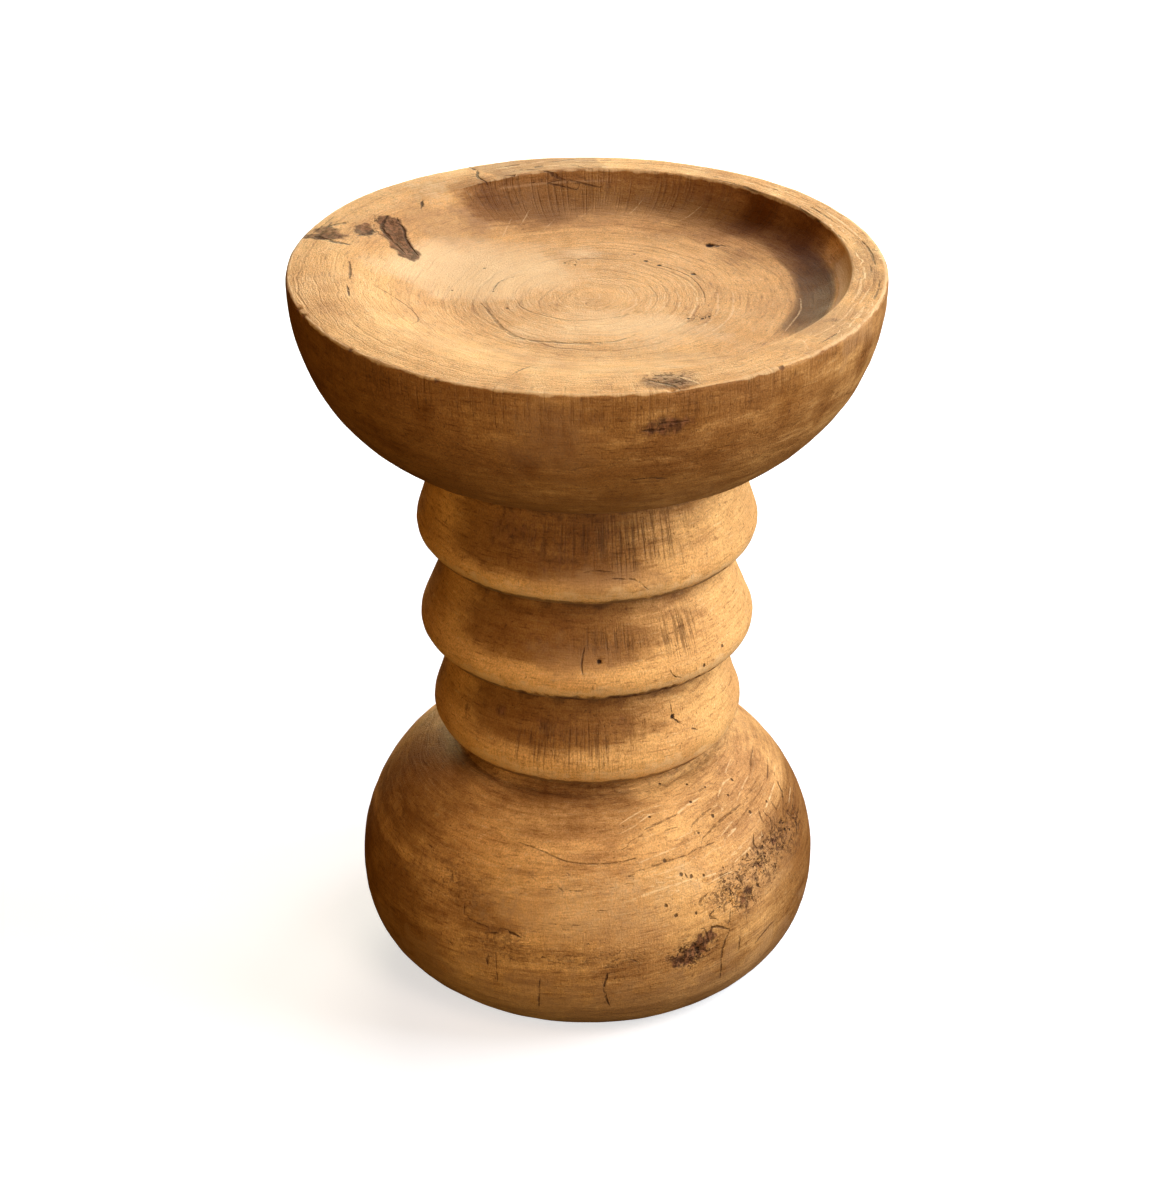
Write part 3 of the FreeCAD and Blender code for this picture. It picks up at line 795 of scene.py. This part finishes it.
def mark_upper_ring(part):
    at = part.on_side
    patch_all(part, at, (
        ("chatter", (-74, 328), 19, 1.0, (1.7, 1, 0.9), 0.7),
        ("chatter", (-100, 325), 14, 0.6, (1.5, 1, 1), 0.8),
        ("stain", (-118, 328), 17, 0.50, (1.3, 1, 1), 0.9),
        ("stain", (-101, 318), 14, 0.45, (1.4, 1, 0.8), 0.9),
        ("stain", (-83, 335), 8, 0.45, (0.9, 1, 1.3), 0.9),
        ("weathered", (-84, 303), 18, 0.9, (2.2, 1, 0.6), 0.9),
    ))
    crack_all(part, at, (
        ([(-91, 310), (-87, 311), (-82, 310)], 0.8, 0.5),
        ([(-81, 306), (-74, 303.5), (-70, 297)], 1.0, 0.55),
    ))
    part.spot(at(-35.5, 290), 1.6)
    part.dent(at(-35.5, 290), 2, 1.2)


def mark_middle_ring(part):
    at = part.on_side
    patch_all(part, at, (
        ("chatter", (-82, 259), 10, 0.8, (1.8, 1, 0.8), 0.8),
        ("chatter", (-54, 258), 14, 0.9, (1.2, 1, 1), 0.8),
        ("stain", (-108, 258), 15, 0.35, (1.6, 1, 0.9), 0.9),
        ("weathered", (-97, 248), 16, 0.7, (2.0, 1, 0.8), 0.9),
    ))
    part.spot(at(-86, 248), 1.5)
    part.dent(at(-86, 248), 1.8, 1.0)
    part.crack([at(-91, 256), at(-92, 247), at(-91.6, 241)], 1.1, 0.7)
    part.crack([at(-61, 239), at(-59.5, 234), at(-56.5, 231)], 0.9, 0.75)
    part.spot(at(-46.5, 233), 1.3, 0.8)
    part.spot(at(-36, 239), 1.1, 0.8)
    along_edge(part, "stain", BEADS["middle"][0] + 6, BEADS["middle"][1] - 12, 5, 0.75, -118, -36)
    chance = np.random.default_rng(7)
    uniform = chance.uniform
    for angle in np.arange(-120, -38, 2.7):
        here = at(angle + uniform(-1, 1), 223.5 + uniform(-1, 2))
        part.dent(here, uniform(1.4, 2.6), uniform(0.4, 1.3))


def mark_lower_ring(part):
    at = part.on_side
    patch_all(part, at, (
        ("chatter", (-100, 184), 17, 0.75, (2.2, 1, 0.9), 0.7),
        ("stain", (-103, 196), 13, 0.45, (1.8, 1, 0.7), 0.9),
        ("stain", (-74, 199), 11, 0.40, (1.6, 1, 0.8), 0.9),
        ("stain", (-127, 200), 5, 0.6, (1, 1, 1), 0.9),
        ("stain", (-144, 192), 4, 0.6, (1, 1, 1.5), 0.9),
    ))
    part.crack([at(-54.2, 205), at(-54.6, 199)], 0.8, 0.6)
    part.spot(at(-54.6, 197), 1.5)
    part.dent(at(-54.6, 197), 1.8, 1.0)
    part.crack([at(-54, 196), at(-50.8, 190)], 1.1, 0.85)
    part.crack([at(-47, 186), at(-44.6, 184)], 0.9, 0.7)
    part.crack([at(-84.1, 181), at(-83.7, 175)], 0.8, 0.7)
    chance = np.random.default_rng(11)
    uniform = chance.uniform
    for angle in np.arange(-125, -40, 4.1):
        here = at(angle + uniform(-1.5, 1.5), 160 + uniform(-1, 2))
        part.dent(here, uniform(1.2, 2.2), uniform(0.3, 0.8))


def make_base(material):
    part = Turning(base_outline(1.5), closed=True)
    rough_out(part, 401)
    mark_base(part)
    part.build("turned_base", "pedestal_base", material)


def mark_base(part):
    at = part.on_side
    # Darker, browner wood over the base: painted shade on its left and at its top under the lower ring,
    # browner wood on its right, and darker towards the bottom
    for brown_and_shade in (
        (0.55, -130, -60, 132, 200, 6), (0.75, -200, -132, 100, 200, 14), (0.9, -190, -128, -10, 100, 14),
        (0.5, -128, -36, -10, 78, 16), (0.3, -128, -60, 70, 132, 16), (1.25, -34, 30, 0, 120, 14),
        (0.70, -72, -40, 0, 82, 12), (0.45, -60, 30, 118, 200, 14), (0.55, 40, 230, 0, 60, 16),
        (0.40, -180, 180, -10, 42, 12),
    ):
        darken(part, *brown_and_shade)
    # A dark joint at the seam with painted shade under the lower ring, the shoulder darker just below it,
    # greyer wood low down, and painted shade along the foot where it meets the floor
    along_edge(part, "seam", SEAM_RADII["base"], LEVELS["base"], 7)
    along_edge(part, "stain", SEAM_RADII["base"] + 10, LEVELS["base"] - 7, 12, 0.35)
    along_edge(part, "weathered", 130, 25, 45, 0.7)
    along_edge(part, "seam", 116, 4, 5, 0.6)

    crack_all(part, at, (
        ([(-111, 129), (-103, 127), (-97, 124), (-90, 123), (-82.5, 123), (-75, 124)], 0.9, 0.55),
        ([(-122.6, 93), (-121.8, 83), (-114.5, 80)], 1.0, 0.55),
        ([(-114.3, 77), (-111.5, 78.5), (-109.3, 80), (-107, 79)], 1.5, 0.8),
        ([(-114.8, 62), (-115.2, 55)], 2.6, 0.8),
        ([(-101.6, 50), (-102, 38), (-102.7, 27)], 1.2, 0.7),
        ([(-84.9, 58), (-85.6, 45), (-84.5, 31)], 1.4, 0.85),
        ([(-113, 67), (-112.8, 43)], 1.0, 0.4),
        ([(-51.3, 86), (-52.5, 69), (-54.4, 55), (-53.4, 33)], 1.2, 0.7),
        ([(-59.8, 76), (-55.6, 74.5), (-52.5, 71)], 1.3, 0.75),
        ([(-59.6, 76), (-58.2, 65)], 1.2, 0.6),
        ([(-44.6, 88), (-45.7, 80)], 3.2, 0.9),
        ([(-9.5, 101), (-13.5, 99), (-17.6, 94)], 1.6, 0.6),
        ([(-48.9, 61), (-48.6, 49)], 1.2, 0.6),
        ([(-35.7, 57), (-39, 54), (-42.6, 50)], 1.3, 0.65),
        ([(-139, 113), (-137, 111)], 1.6, 0.6),
        ([(-128.6, 105), (-128, 100)], 1.6, 0.6),
    ))
    chance = np.random.default_rng(5)
    uniform = chance.uniform
    for _ in range(70):
        angle, height = uniform(-84, -12), uniform(100, 142)
        reach = uniform(9, 20)
        streak = [at(angle, height), at(angle + reach / 2, height + reach * 0.20),
                  at(angle + reach, height + reach * 0.26)]
        part.crack(streak, uniform(0.7, 1.4), chance.choice([-0.75, -0.5, 0.35, 0.5]))

    patch_all(part, at, (
        ("bleached", (-96, 100), 38, 0.45, (1.9, 1.2, 0.8), 1),
        ("bleached", (-64, 108), 26, 0.4, (1.8, 1.2, 0.7), 1),
        ("weathered", (-104, 94), 18, 0.6, (1.8, 1.2, 0.8), 1),
        ("weathered", (-80, 84), 22, 0.6, (2.0, 1.2, 0.6), 1),
        ("patina", (-118, 88), 22, 0.7, (1.3, 1.3, 1.0), 1),
        ("patina", (-76, 66), 24, 0.5, (2.2, 1.2, 0.6), 1),
    ))

    # Torn and pitted wood on the lower right
    for angle, height, size, amount in (
        (-48, 98, 10, 0.9), (-38, 100, 9, 1.0), (-28, 103, 10, 0.9), (-16, 101, 9, 0.8),
        (-53, 92, 7, 0.8), (-46, 84, 9, 0.7), (-36, 90, 8, 0.7), (-22, 92, 8, 0.5),
    ):
        part.patch("torn", at(angle, height), size, amount, (1.4, 1.4, 0.8), soft=0.8, ragged=0.5)
    for _ in range(44):
        angle, height = uniform(-60, -12), chance.normal(0, 7)
        height += 84 + 0.55 * (angle + 60)
        tear = [at(angle, height), at(angle + uniform(-1.5, 1.5), height + uniform(2, 5)),
                at(angle + uniform(0, 3), height + uniform(4, 8))]
        part.crack(tear, uniform(0.8, 1.8), uniform(0.4, 0.9))
    stains = (
        (-38, 98, 3, 0.6), (-29, 104, 3, 0.6), (-41, 94, 3, 0.6), (-47, 84, 3, 0.8), (-44.5, 88, 4, 0.8),
        (-46, 79, 3, 0.8), (-58, 70, 4, 1.0), (-61, 66, 5, 1.1), (-64, 61, 5, 1.1), (-67, 58, 4, 0.9),
    )
    for angle, height, size, amount in stains:
        part.patch("stain", at(angle, height), size, amount, (1, 1, 1.2), soft=0.8, ragged=0.6)
    part.patch("torn", at(-63, 62), 12, 1.0, (1.2, 1.2, 0.8), ragged=0.5)
    part.patch("stain", at(-62, 64), 5, 0.95, (1.1, 1.1, 0.9), ragged=0.7)
    part.patch("stain", at(-66, 58), 3, 0.9, ragged=0.7)
    part.dent(at(-62, 64), 4, 2.0)
    part.dent(at(-66, 58), 3, 1.3)
    part.dent(at(-45, 84), 2.5, 1.6, (1, 1, 1.8))
    part.patch("torn", at(-88, 68), 16, 0.45, (2.5, 1, 0.4), soft=0.9)
    part.patch("torn", at(-112, 72), 16, 0.45, (1.6, 1, 0.7), soft=0.9)
    for _ in range(36):
        angle, height = uniform(-150, -60), uniform(60, 122)
        fleck = [at(angle, height), at(angle + uniform(0.8, 2.2), height + uniform(-0.6, 0.6))]
        part.crack(fleck, uniform(0.7, 1.2), uniform(0.25, 0.55))
    part.patch("torn", at(-128, 100), 15, 0.45, (1.5, 1.5, 0.9), soft=0.9)
    part.patch("stain", at(-139, 104), 10, 0.4, (1, 1, 1), soft=0.9)
    part.patch("weathered", at(-100, 90), 22, 0.6, (2.2, 1, 0.7), soft=0.9)
    part.patch("weathered", at(-40, 96), 26, 0.6, (1.6, 1.6, 0.9), soft=0.9)
    pit_clusters = ((-40, 100, 11, 44), (-20, 102, 9, 26), (-49, 87, 8, 22), (-63, 62, 5, 12))
    for angle, height, reach, count in pit_clusters:
        for _ in range(count):
            here = at(angle + chance.normal(0, reach * 0.6), height + chance.normal(0, reach * 0.5))
            part.dent(here, uniform(1.3, 2.4), uniform(0.5, 1.5))
            part.spot(here, uniform(0.6, 1.5), uniform(0.5, 0.95))
    for place in (
        (-48, 146), (-42, 143), (-52, 141), (-37, 137), (-47, 133), (-30, 140), (-68, 140), (-57, 147)
    ):
        part.spot(at(*place), uniform(0.8, 1.3), 0.85)
    for _ in range(16):
        part.spot(at(uniform(-70, -15), uniform(88, 128)), uniform(0.8, 1.4), 0.8)


# ---------------------------------------------------------------- materials

HONEY = (0.84, 0.52, 0.24)
BROWN = (0.60, 0.33, 0.15)
PALE = (0.88, 0.66, 0.42)


class Graph:
    """Adds nodes to a tree. Inputs are sockets, numbers or triples."""

    def __init__(self, tree):
        self.tree = tree

    def add(self, kind, *values, **settings):
        """A new node with its settings, and with its first inputs set to the values."""
        node = self.tree.nodes.new("ShaderNode" + kind)
        for name, value in settings.items():
            setattr(node, name, value)
        for index, value in enumerate(values):
            self.set(node, index, value)
        return node

    def set(self, node, name, value):
        socket = node.inputs[name]
        if isinstance(value, bpy.types.NodeSocket):
            self.tree.links.new(value, socket)
        elif socket.type == "RGBA":
            socket.default_value = (*value, 1)
        else:
            socket.default_value = value

    def math(self, operation, *values, clamp=False):
        return self.add("Math", *values, operation=operation, use_clamp=clamp).outputs[0]

    def times(self, first, second, clamp=False):
        return self.math("MULTIPLY", first, second, clamp=clamp)

    def plus(self, first, second):
        return self.math("ADD", first, second)

    def minus(self, first, second):
        return self.math("SUBTRACT", first, second)

    def scaled_sum(self, first, share, second, other_share):
        return self.plus(self.times(first, share), self.times(second, other_share))

    def vector(self, operation, *values):
        node = self.add("VectorMath", *values, operation=operation)
        return node.outputs["Value" if operation in ("LENGTH", "DOT_PRODUCT") else "Vector"]

    def scaled(self, vector, factor):
        node = self.add("VectorMath", vector, operation="SCALE")
        self.set(node, "Scale", factor)
        return node.outputs[0]

    def parts(self, vector):
        return self.add("SeparateXYZ", vector).outputs

    def joined(self, x, y, z):
        return self.add("CombineXYZ", x, y, z).outputs[0]

    def noise(self, vector, cell, layers=2.0, rough=0.5, output="Fac"):
        """Smooth noise from 0 to 1. Cell is the size of its features along x, y and z."""
        node = self.add("TexNoise")
        self.set(node, "Vector", self.vector("DIVIDE", vector, cell))
        self.set(node, "Scale", 1.0)
        self.set(node, "Detail", layers)
        self.set(node, "Roughness", rough)
        return node.outputs[output]

    def noise_along(self, value, cell, layers=2.0, vector=None):
        node = self.add("TexNoise", noise_dimensions="1D" if vector is None else "4D")
        self.set(node, "W", self.math("DIVIDE", value, cell))
        if vector is not None:
            self.set(node, "Vector", vector)
        self.set(node, "Scale", 1.0)
        self.set(node, "Detail", layers)
        return node.outputs["Fac"]

    def ramp(self, value, low, high, start=0.0, end=1.0):
        """Start below low, end above high, and smooth between them."""
        return self.add("MapRange", value, low, high, start, end, interpolation_type="SMOOTHSTEP").outputs[0]

    def mix(self, share, start, end, blend="MIX"):
        node = self.add("Mix", share, data_type="RGBA", blend_type=blend)
        self.set(node, 6, start)
        self.set(node, 7, end)
        return node.outputs[2]

    def tinted(self, colour, *tints):
        """The colour under several tints, each a share and a colour, from the lowest up."""
        for share, tint in tints:
            colour = self.mix(share, colour, tint)
        return colour

    def layer(self, name):
        return self.add("Attribute", attribute_name=name).outputs["Fac"]

    def marks(self, name, noise, share, low, high):
        """How strongly a mesh layer shows, from 0 to 1, with its edge broken up by a noise."""
        return self.ramp(self.plus(self.layer(name), self.times(noise, share)), low, high)

    def random_offset(self, place, cell, layers, rough=0.5):
        """A smooth random vector, each part of it from -0.5 to 0.5."""
        return self.vector("SUBTRACT", self.noise(place, cell, layers, rough, "Color"), (0.5, 0.5, 0.5))

    def millimetres(self):
        return self.scaled(self.add("TexCoord").outputs["Object"], 1 / MM)

    def bump(self, height, distance):
        node = self.add("Bump")
        self.set(node, "Height", height)
        self.set(node, "Distance", distance * MM)
        self.set(node, "Strength", 1.0)
        return node.outputs[0]


def new_material(name, roughness=0.5, metallic=0.0, specular=0.5):
    """A material with even values, its shader, and a graph to add nodes with."""
    material = bpy.data.materials.new(name)
    material.use_nodes = True
    shader = material.node_tree.nodes["Principled BSDF"]
    shader.inputs["Roughness"].default_value = roughness
    shader.inputs["Metallic"].default_value = metallic
    shader.inputs["Specular IOR Level"].default_value = specular
    return material, shader, Graph(material.node_tree)


class Grain:
    """The patterns of wood that is cut from one upright log and turned, as sockets."""

    def __init__(self, g, lean):
        place = g.millimetres()
        self.place = place
        x, y, z = g.parts(place)

        # Growth rings round an upright pith that wanders. They fade outwards and in places
        wander = g.random_offset(place, (95, 95, 260), 2)
        ripple = g.random_offset(place, (14, 14, 50), 3, 0.6)
        from_pith = g.vector("SUBTRACT", place, (*PITH, 0))
        bent = g.vector("ADD", from_pith, g.vector("ADD", g.scaled(wander, 30), g.scaled(ripple, 5.5)))
        ring_radius = g.vector("LENGTH", g.vector("MULTIPLY", bent, (1, 1, 0)))
        self.ring_tone = g.noise_along(ring_radius, 3.2, 3)
        self.ring_band = g.noise_along(ring_radius, 15, 2)
        self.ring_line = g.ramp(g.noise_along(ring_radius, 4.5, 1), 0.64, 0.72)
        uneven = g.ramp(g.noise(place, (24, 24, 30), 3), 0.38, 0.60, 0.1, 1)
        self.ring_share = g.times(g.ramp(ring_radius, 80, 115, 1, 0.35), uneven)

        # Long fibres and short open pores along the log
        self.fibre = g.noise(place, (1.1, 1.1, 26), 3, 0.6)
        self.pores = g.ramp(g.noise(place, (0.75, 0.75, 7), 1), 0.66, 0.74)

        # Fine lines that the tool and later sanding left round the piece, and short streaks up and down it
        axis_radius = g.vector("LENGTH", g.vector("MULTIPLY", place, (1, 1, 0)))
        leaning = g.joined(x, y, g.minus(z, g.vector("DOT_PRODUCT", place, lean)))
        aside = g.vector("ADD", leaning, (40, 0, 0))
        self.turning = g.noise_along(axis_radius, 0.8, 3, g.vector("DIVIDE", leaning, (15, 15, 0.8)))
        self.dashes = g.noise_along(axis_radius, 1.2, 2, g.vector("DIVIDE", aside, (7, 7, 1.1)))
        self.coarse = g.noise_along(axis_radius, 3.2, 3, g.vector("DIVIDE", leaning, (28, 28, 3.2)))
        round_angle = g.math("ARCTAN2", x, g.times(y, -1.0))
        self.upright = g.noise(g.joined(g.times(round_angle, 95), z, 0), (1.3, 34, 1), 3, 0.65)

        # Broad changes of tone, and the finest
        self.cloud = g.noise(place, (55, 55, 75), 3, 0.55)
        self.smudge = g.noise(place, (16, 16, 26), 4, 0.62)
        self.grime = g.noise(place, (4.5, 4.5, 7), 5, 0.68)
        self.grit = g.noise(place, (0.9, 0.9, 1.2), 2, 0.6)
        self.drift = g.noise(leaning, (36, 36, 10), 5, 0.62)

        specks = g.add("TexVoronoi")
        g.set(specks, "Vector", g.vector("DIVIDE", place, (5.5, 5.5, 3.2)))
        g.set(specks, "Scale", 1.0)
        chosen = g.ramp(g.parts(specks.outputs["Color"])[0], 0.80, 0.84)
        self.specks = g.times(g.ramp(specks.outputs["Distance"], 0.07, 0.17, 1, 0), chosen)


def sound_colour(g, grain, rings, lines):
    """The wood's own colour. Rings and lines say how strongly its growth rings and its tool lines show."""
    tone = g.plus(g.ramp(grain.cloud, 0.38, 0.66), g.times(g.minus(grain.drift, 0.5), 1.8))
    ring_tone = g.ramp(grain.ring_tone, 0.45, 0.68, 0, 0.65 * rings)
    colour = g.tinted(
        g.mix(g.times(tone, 0.6, clamp=True), HONEY, BROWN),
        (g.ramp(grain.ring_band, 0.45, 0.62, 0, 0.40 * rings), BROWN),
        (g.times(ring_tone, grain.ring_share), (0.46, 0.23, 0.09)),
        (g.times(g.times(grain.ring_line, grain.ring_share), 0.5 * rings), (0.30, 0.13, 0.045)),
        (g.ramp(grain.fibre, 0.50, 0.78, 0, 0.35 * rings), (0.36, 0.17, 0.06)),
        (g.ramp(grain.coarse, 0.50, 0.75, 0, 0.45 * lines), (0.44, 0.22, 0.09)),
        (g.ramp(grain.turning, 0.52, 0.80, 0, 0.60 * lines), (0.34, 0.16, 0.06)),
        (g.ramp(grain.turning, 0.25, 0.45, 0.35 * lines, 0), PALE),
        (g.ramp(grain.grime, 0.54, 0.74, 0, 0.45), (0.33, 0.16, 0.07)),
        (g.times(grain.pores, g.ramp(grain.grime, 0.42, 0.60, 0, 0.75)), (0.13, 0.055, 0.02)),
        (g.ramp(grain.dashes, 0.56, 0.72, 0, 0.55), (0.24, 0.10, 0.04)),
        (g.ramp(grain.dashes, 0.26, 0.42, 0.45, 0), PALE),
    )
    speckle = g.mix(g.ramp(grain.grit, 0.3, 0.7), (0.78, 0.76, 0.72), (1.16, 1.17, 1.18))
    colour = g.mix(1.0, colour, speckle, "MULTIPLY")
    return g.mix(g.times(grain.specks, 0.6), colour, (0.14, 0.06, 0.025))


def aged_colour(g, grain, colour):
    """The colour under patina and painted shade, wear and painted highlights, and stains, and where it is
    stained, chattered and torn.
    """
    noise = g.minus(grain.grime, 0.5)
    streaks = g.plus(
        g.scaled_sum(grain.drift, 1.9, grain.grime, 0.6), g.scaled_sum(grain.coarse, 0.7, grain.upright, 0.3)
    )
    patina = g.plus(g.layer("patina"), g.times(g.minus(streaks, 1.75), 0.6))
    # Patina and painted shade: a browner tint, then a deep, saturated one where the layer passes 1
    for low, tint in ((0.0, (0.40, 0.32, 0.24)), (1.0, (0.45, 0.28, 0.06))):
        colour = g.mix(g.ramp(patina, low, low + 1), colour, g.mix(1.0, colour, tint, "MULTIPLY"))
    stain = g.marks("stain", noise, 0.9, 0.25, 0.85)
    bark_noise = g.ramp(g.noise(grain.place, (2.5, 2.5, 6), 3, 0.65), 0.40, 0.64)
    chatter = g.times(g.layer("chatter"), g.ramp(grain.upright, 0.48, 0.66))
    torn = g.times(g.layer("torn"), g.ramp(g.noise(grain.place, (3.2, 3.2, 2.2), 3, 0.65), 0.50, 0.60))
    colour = g.tinted(
        colour,
        # Pale wood from bleaching, and a painted sheen and painted light on the dish
        (g.times(g.marks("bleached", noise, 0.5, 0.2, 0.9), 0.72), (0.93, 0.73, 0.50)),
        (g.times(g.marks("weathered", noise, 0.7, 0.15, 0.9), 0.55), (0.42, 0.25, 0.14)),
        (g.times(g.marks("wear_and_highlight", noise, 0.8, 0.30, 0.80), 0.65), PALE),
        (g.times(stain, 0.88), g.mix(bark_noise, (0.045, 0.016, 0.012), (0.24, 0.105, 0.060))),
        (g.times(chatter, 0.75), (0.13, 0.06, 0.025)),
        (g.times(torn, 0.9), (0.07, 0.028, 0.014)),
        # Dark joints, and painted shade under the beads and along the foot
        (g.times(g.marks("seam", noise, 0.8, 0.2, 1.15), 0.75), (0.07, 0.028, 0.012)),
    )
    return colour, stain, chatter, torn


def fine_marks(g, grain):
    """Where the dark cracks, the pale scratches and the pits are, which are drawn finer than the mesh."""
    wriggle = g.times(g.minus(g.noise(grain.place, (5, 5, 5), 3, 0.6), 0.5), 2.0)
    side = g.math("ABSOLUTE", g.plus(g.layer("line_side"), wriggle))
    hold = g.layer("line_hold")
    slit = g.times(g.ramp(side, 0.4, 1.5, 1, 0), g.ramp(grain.grime, 0.38, 0.54, 0.1, 1))
    cracks = g.times(slit, g.math("MAXIMUM", hold, 0.0))
    scratches = g.times(slit, g.math("MAXIMUM", g.times(hold, -1.0), 0.0))
    spot_place = g.joined(*(g.layer("spot_" + axis) for axis in "xyz"))
    jitter = g.random_offset(grain.place, (1.8, 1.8, 1.8), 2)
    far = g.vector("LENGTH", g.vector("ADD", spot_place, g.scaled(jitter, 1.1)))
    pits = g.times(g.ramp(far, 0.55, 1.15, 1, 0), g.layer("spot_hold"))
    return cracks, scratches, pits


def fine_relief(g, grain, lines):
    """The height of the grain: fibres, rings and tool lines stand up, and dashes, grit and pores lie low."""
    height = g.scaled_sum(grain.fibre, 0.5, g.plus(grain.turning, grain.coarse), 0.7 * lines)
    height = g.minus(height, g.times(g.plus(grain.dashes, grain.grit), 0.5))
    height = g.plus(height, g.times(g.minus(grain.ring_tone, grain.ring_line), 0.25))
    return g.minus(height, g.times(grain.pores, 0.3))


def wood_material(name, rings=1.0, lines=1.0, lean=(0, 0, 0)):
    """Oiled wood with wear, and the marks, painted shade and painted highlights that the mesh layers carry.
    Lean slopes its tool lines.
    """
    material, shader, g = new_material(name, specular=0.2)
    grain = Grain(g, lean)
    colour, stain, chatter, torn = aged_colour(g, grain, sound_colour(g, grain, rings, lines))
    cracks, scratches, pits = fine_marks(g, grain)
    colour = g.tinted(
        colour, (cracks, (0.055, 0.02, 0.010)), (scratches, PALE), (pits, (0.03, 0.012, 0.008))
    )
    g.set(shader, "Base Color", colour)
    smooth_wood = g.ramp(grain.smudge, 0.3, 0.7, 0.46, 0.62)
    g.set(shader, "Roughness", g.plus(smooth_wood, g.times(g.plus(stain, torn), 0.15)))
    cuts = g.plus(g.plus(cracks, pits), g.times(g.plus(torn, chatter), 0.6))
    height = g.minus(fine_relief(g, grain, lines), g.times(cuts, 2.0))
    g.set(shader, "Normal", g.bump(height, 0.6))
    return material


def steel_material():
    material, shader, g = new_material("zinc_plated_steel", roughness=0.35, metallic=1.0)
    place = g.millimetres()
    cloud = g.noise(place, (4, 4, 4), 3)
    brushed = g.noise(place, (0.3, 3, 3), 3, 0.6)
    colour = g.mix(g.ramp(cloud, 0.35, 0.65), (0.60, 0.61, 0.62), (0.48, 0.48, 0.46))
    dull = g.ramp(g.noise(place, (1.2, 1.2, 1.2), 3, 0.6), 0.58, 0.72)
    g.set(shader, "Base Color", g.mix(g.times(dull, 0.6), colour, (0.34, 0.30, 0.24)))
    g.set(shader, "Roughness", g.ramp(g.scaled_sum(brushed, 0.6, dull, 0.4), 0.2, 0.8, 0.28, 0.5))
    g.set(shader, "Normal", g.bump(brushed, 0.03))
    return material


def felt_material():
    material, shader, g = new_material("felt", roughness=0.95, specular=0.2)
    shader.inputs["Sheen Weight"].default_value = 0.3
    place = g.millimetres()
    hair = g.noise(place, (0.5, 0.5, 0.5), 4, 0.7)
    clump = g.noise(place, (3, 3, 3), 3, 0.6)
    colour = g.mix(g.ramp(clump, 0.35, 0.65), (0.17, 0.12, 0.075), (0.11, 0.075, 0.045))
    g.set(shader, "Base Color", g.mix(g.ramp(hair, 0.5, 0.75, 0, 0.5), colour, (0.26, 0.20, 0.14)))
    g.set(shader, "Normal", g.bump(hair, 0.25))
    return material


def dowel_material():
    """Straight beech with short flecks along the dowel."""
    material, shader, g = new_material("dowel_wood", specular=0.3)
    place = g.millimetres()
    grain = g.noise(place, (0.8, 0.8, 18), 3, 0.6)
    fleck = g.ramp(g.noise(place, (0.4, 0.4, 2.5), 1), 0.62, 0.70)
    colour = g.mix(g.ramp(grain, 0.35, 0.70), (0.62, 0.43, 0.27), (0.47, 0.29, 0.16))
    g.set(shader, "Base Color", g.mix(g.times(fleck, 0.5), colour, (0.30, 0.16, 0.08)))
    g.set(shader, "Roughness", g.ramp(grain, 0.3, 0.7, 0.5, 0.65))
    g.set(shader, "Normal", g.bump(grain, 0.08))
    return material


def paint_node(name, material):
    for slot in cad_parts[name].material_slots:
        slot.material = material


# ---------------------------------------------------------------- everything together

make_camera()
make_floor()
make_world()
light_scene()

make_top(wood_material("top_wood", rings=1.0, lines=0.45))
neck_wood = wood_material("neck_wood", rings=0.35, lines=0.6)
make_neck_ring("upper", "upper_neck_ring", "middle", "top", 201, neck_wood, mark_upper_ring)
make_neck_ring("middle", "middle_neck_ring", "lower", "middle", 251, neck_wood, mark_middle_ring)
make_neck_ring("lower", "lower_neck_ring", "base", "lower", 301, neck_wood, mark_lower_ring)
make_base(wood_material("base_wood", rings=0.45, lines=1.0, lean=(0.08, 0.09, 0)))

steel = steel_material()
for hardware in ("tie_rod", "top_insert", "clamp_washer", "clamp_nut"):
    paint_node(hardware, steel)
paint_node("locating_dowels", dowel_material())
paint_node("felt_pads", felt_material())
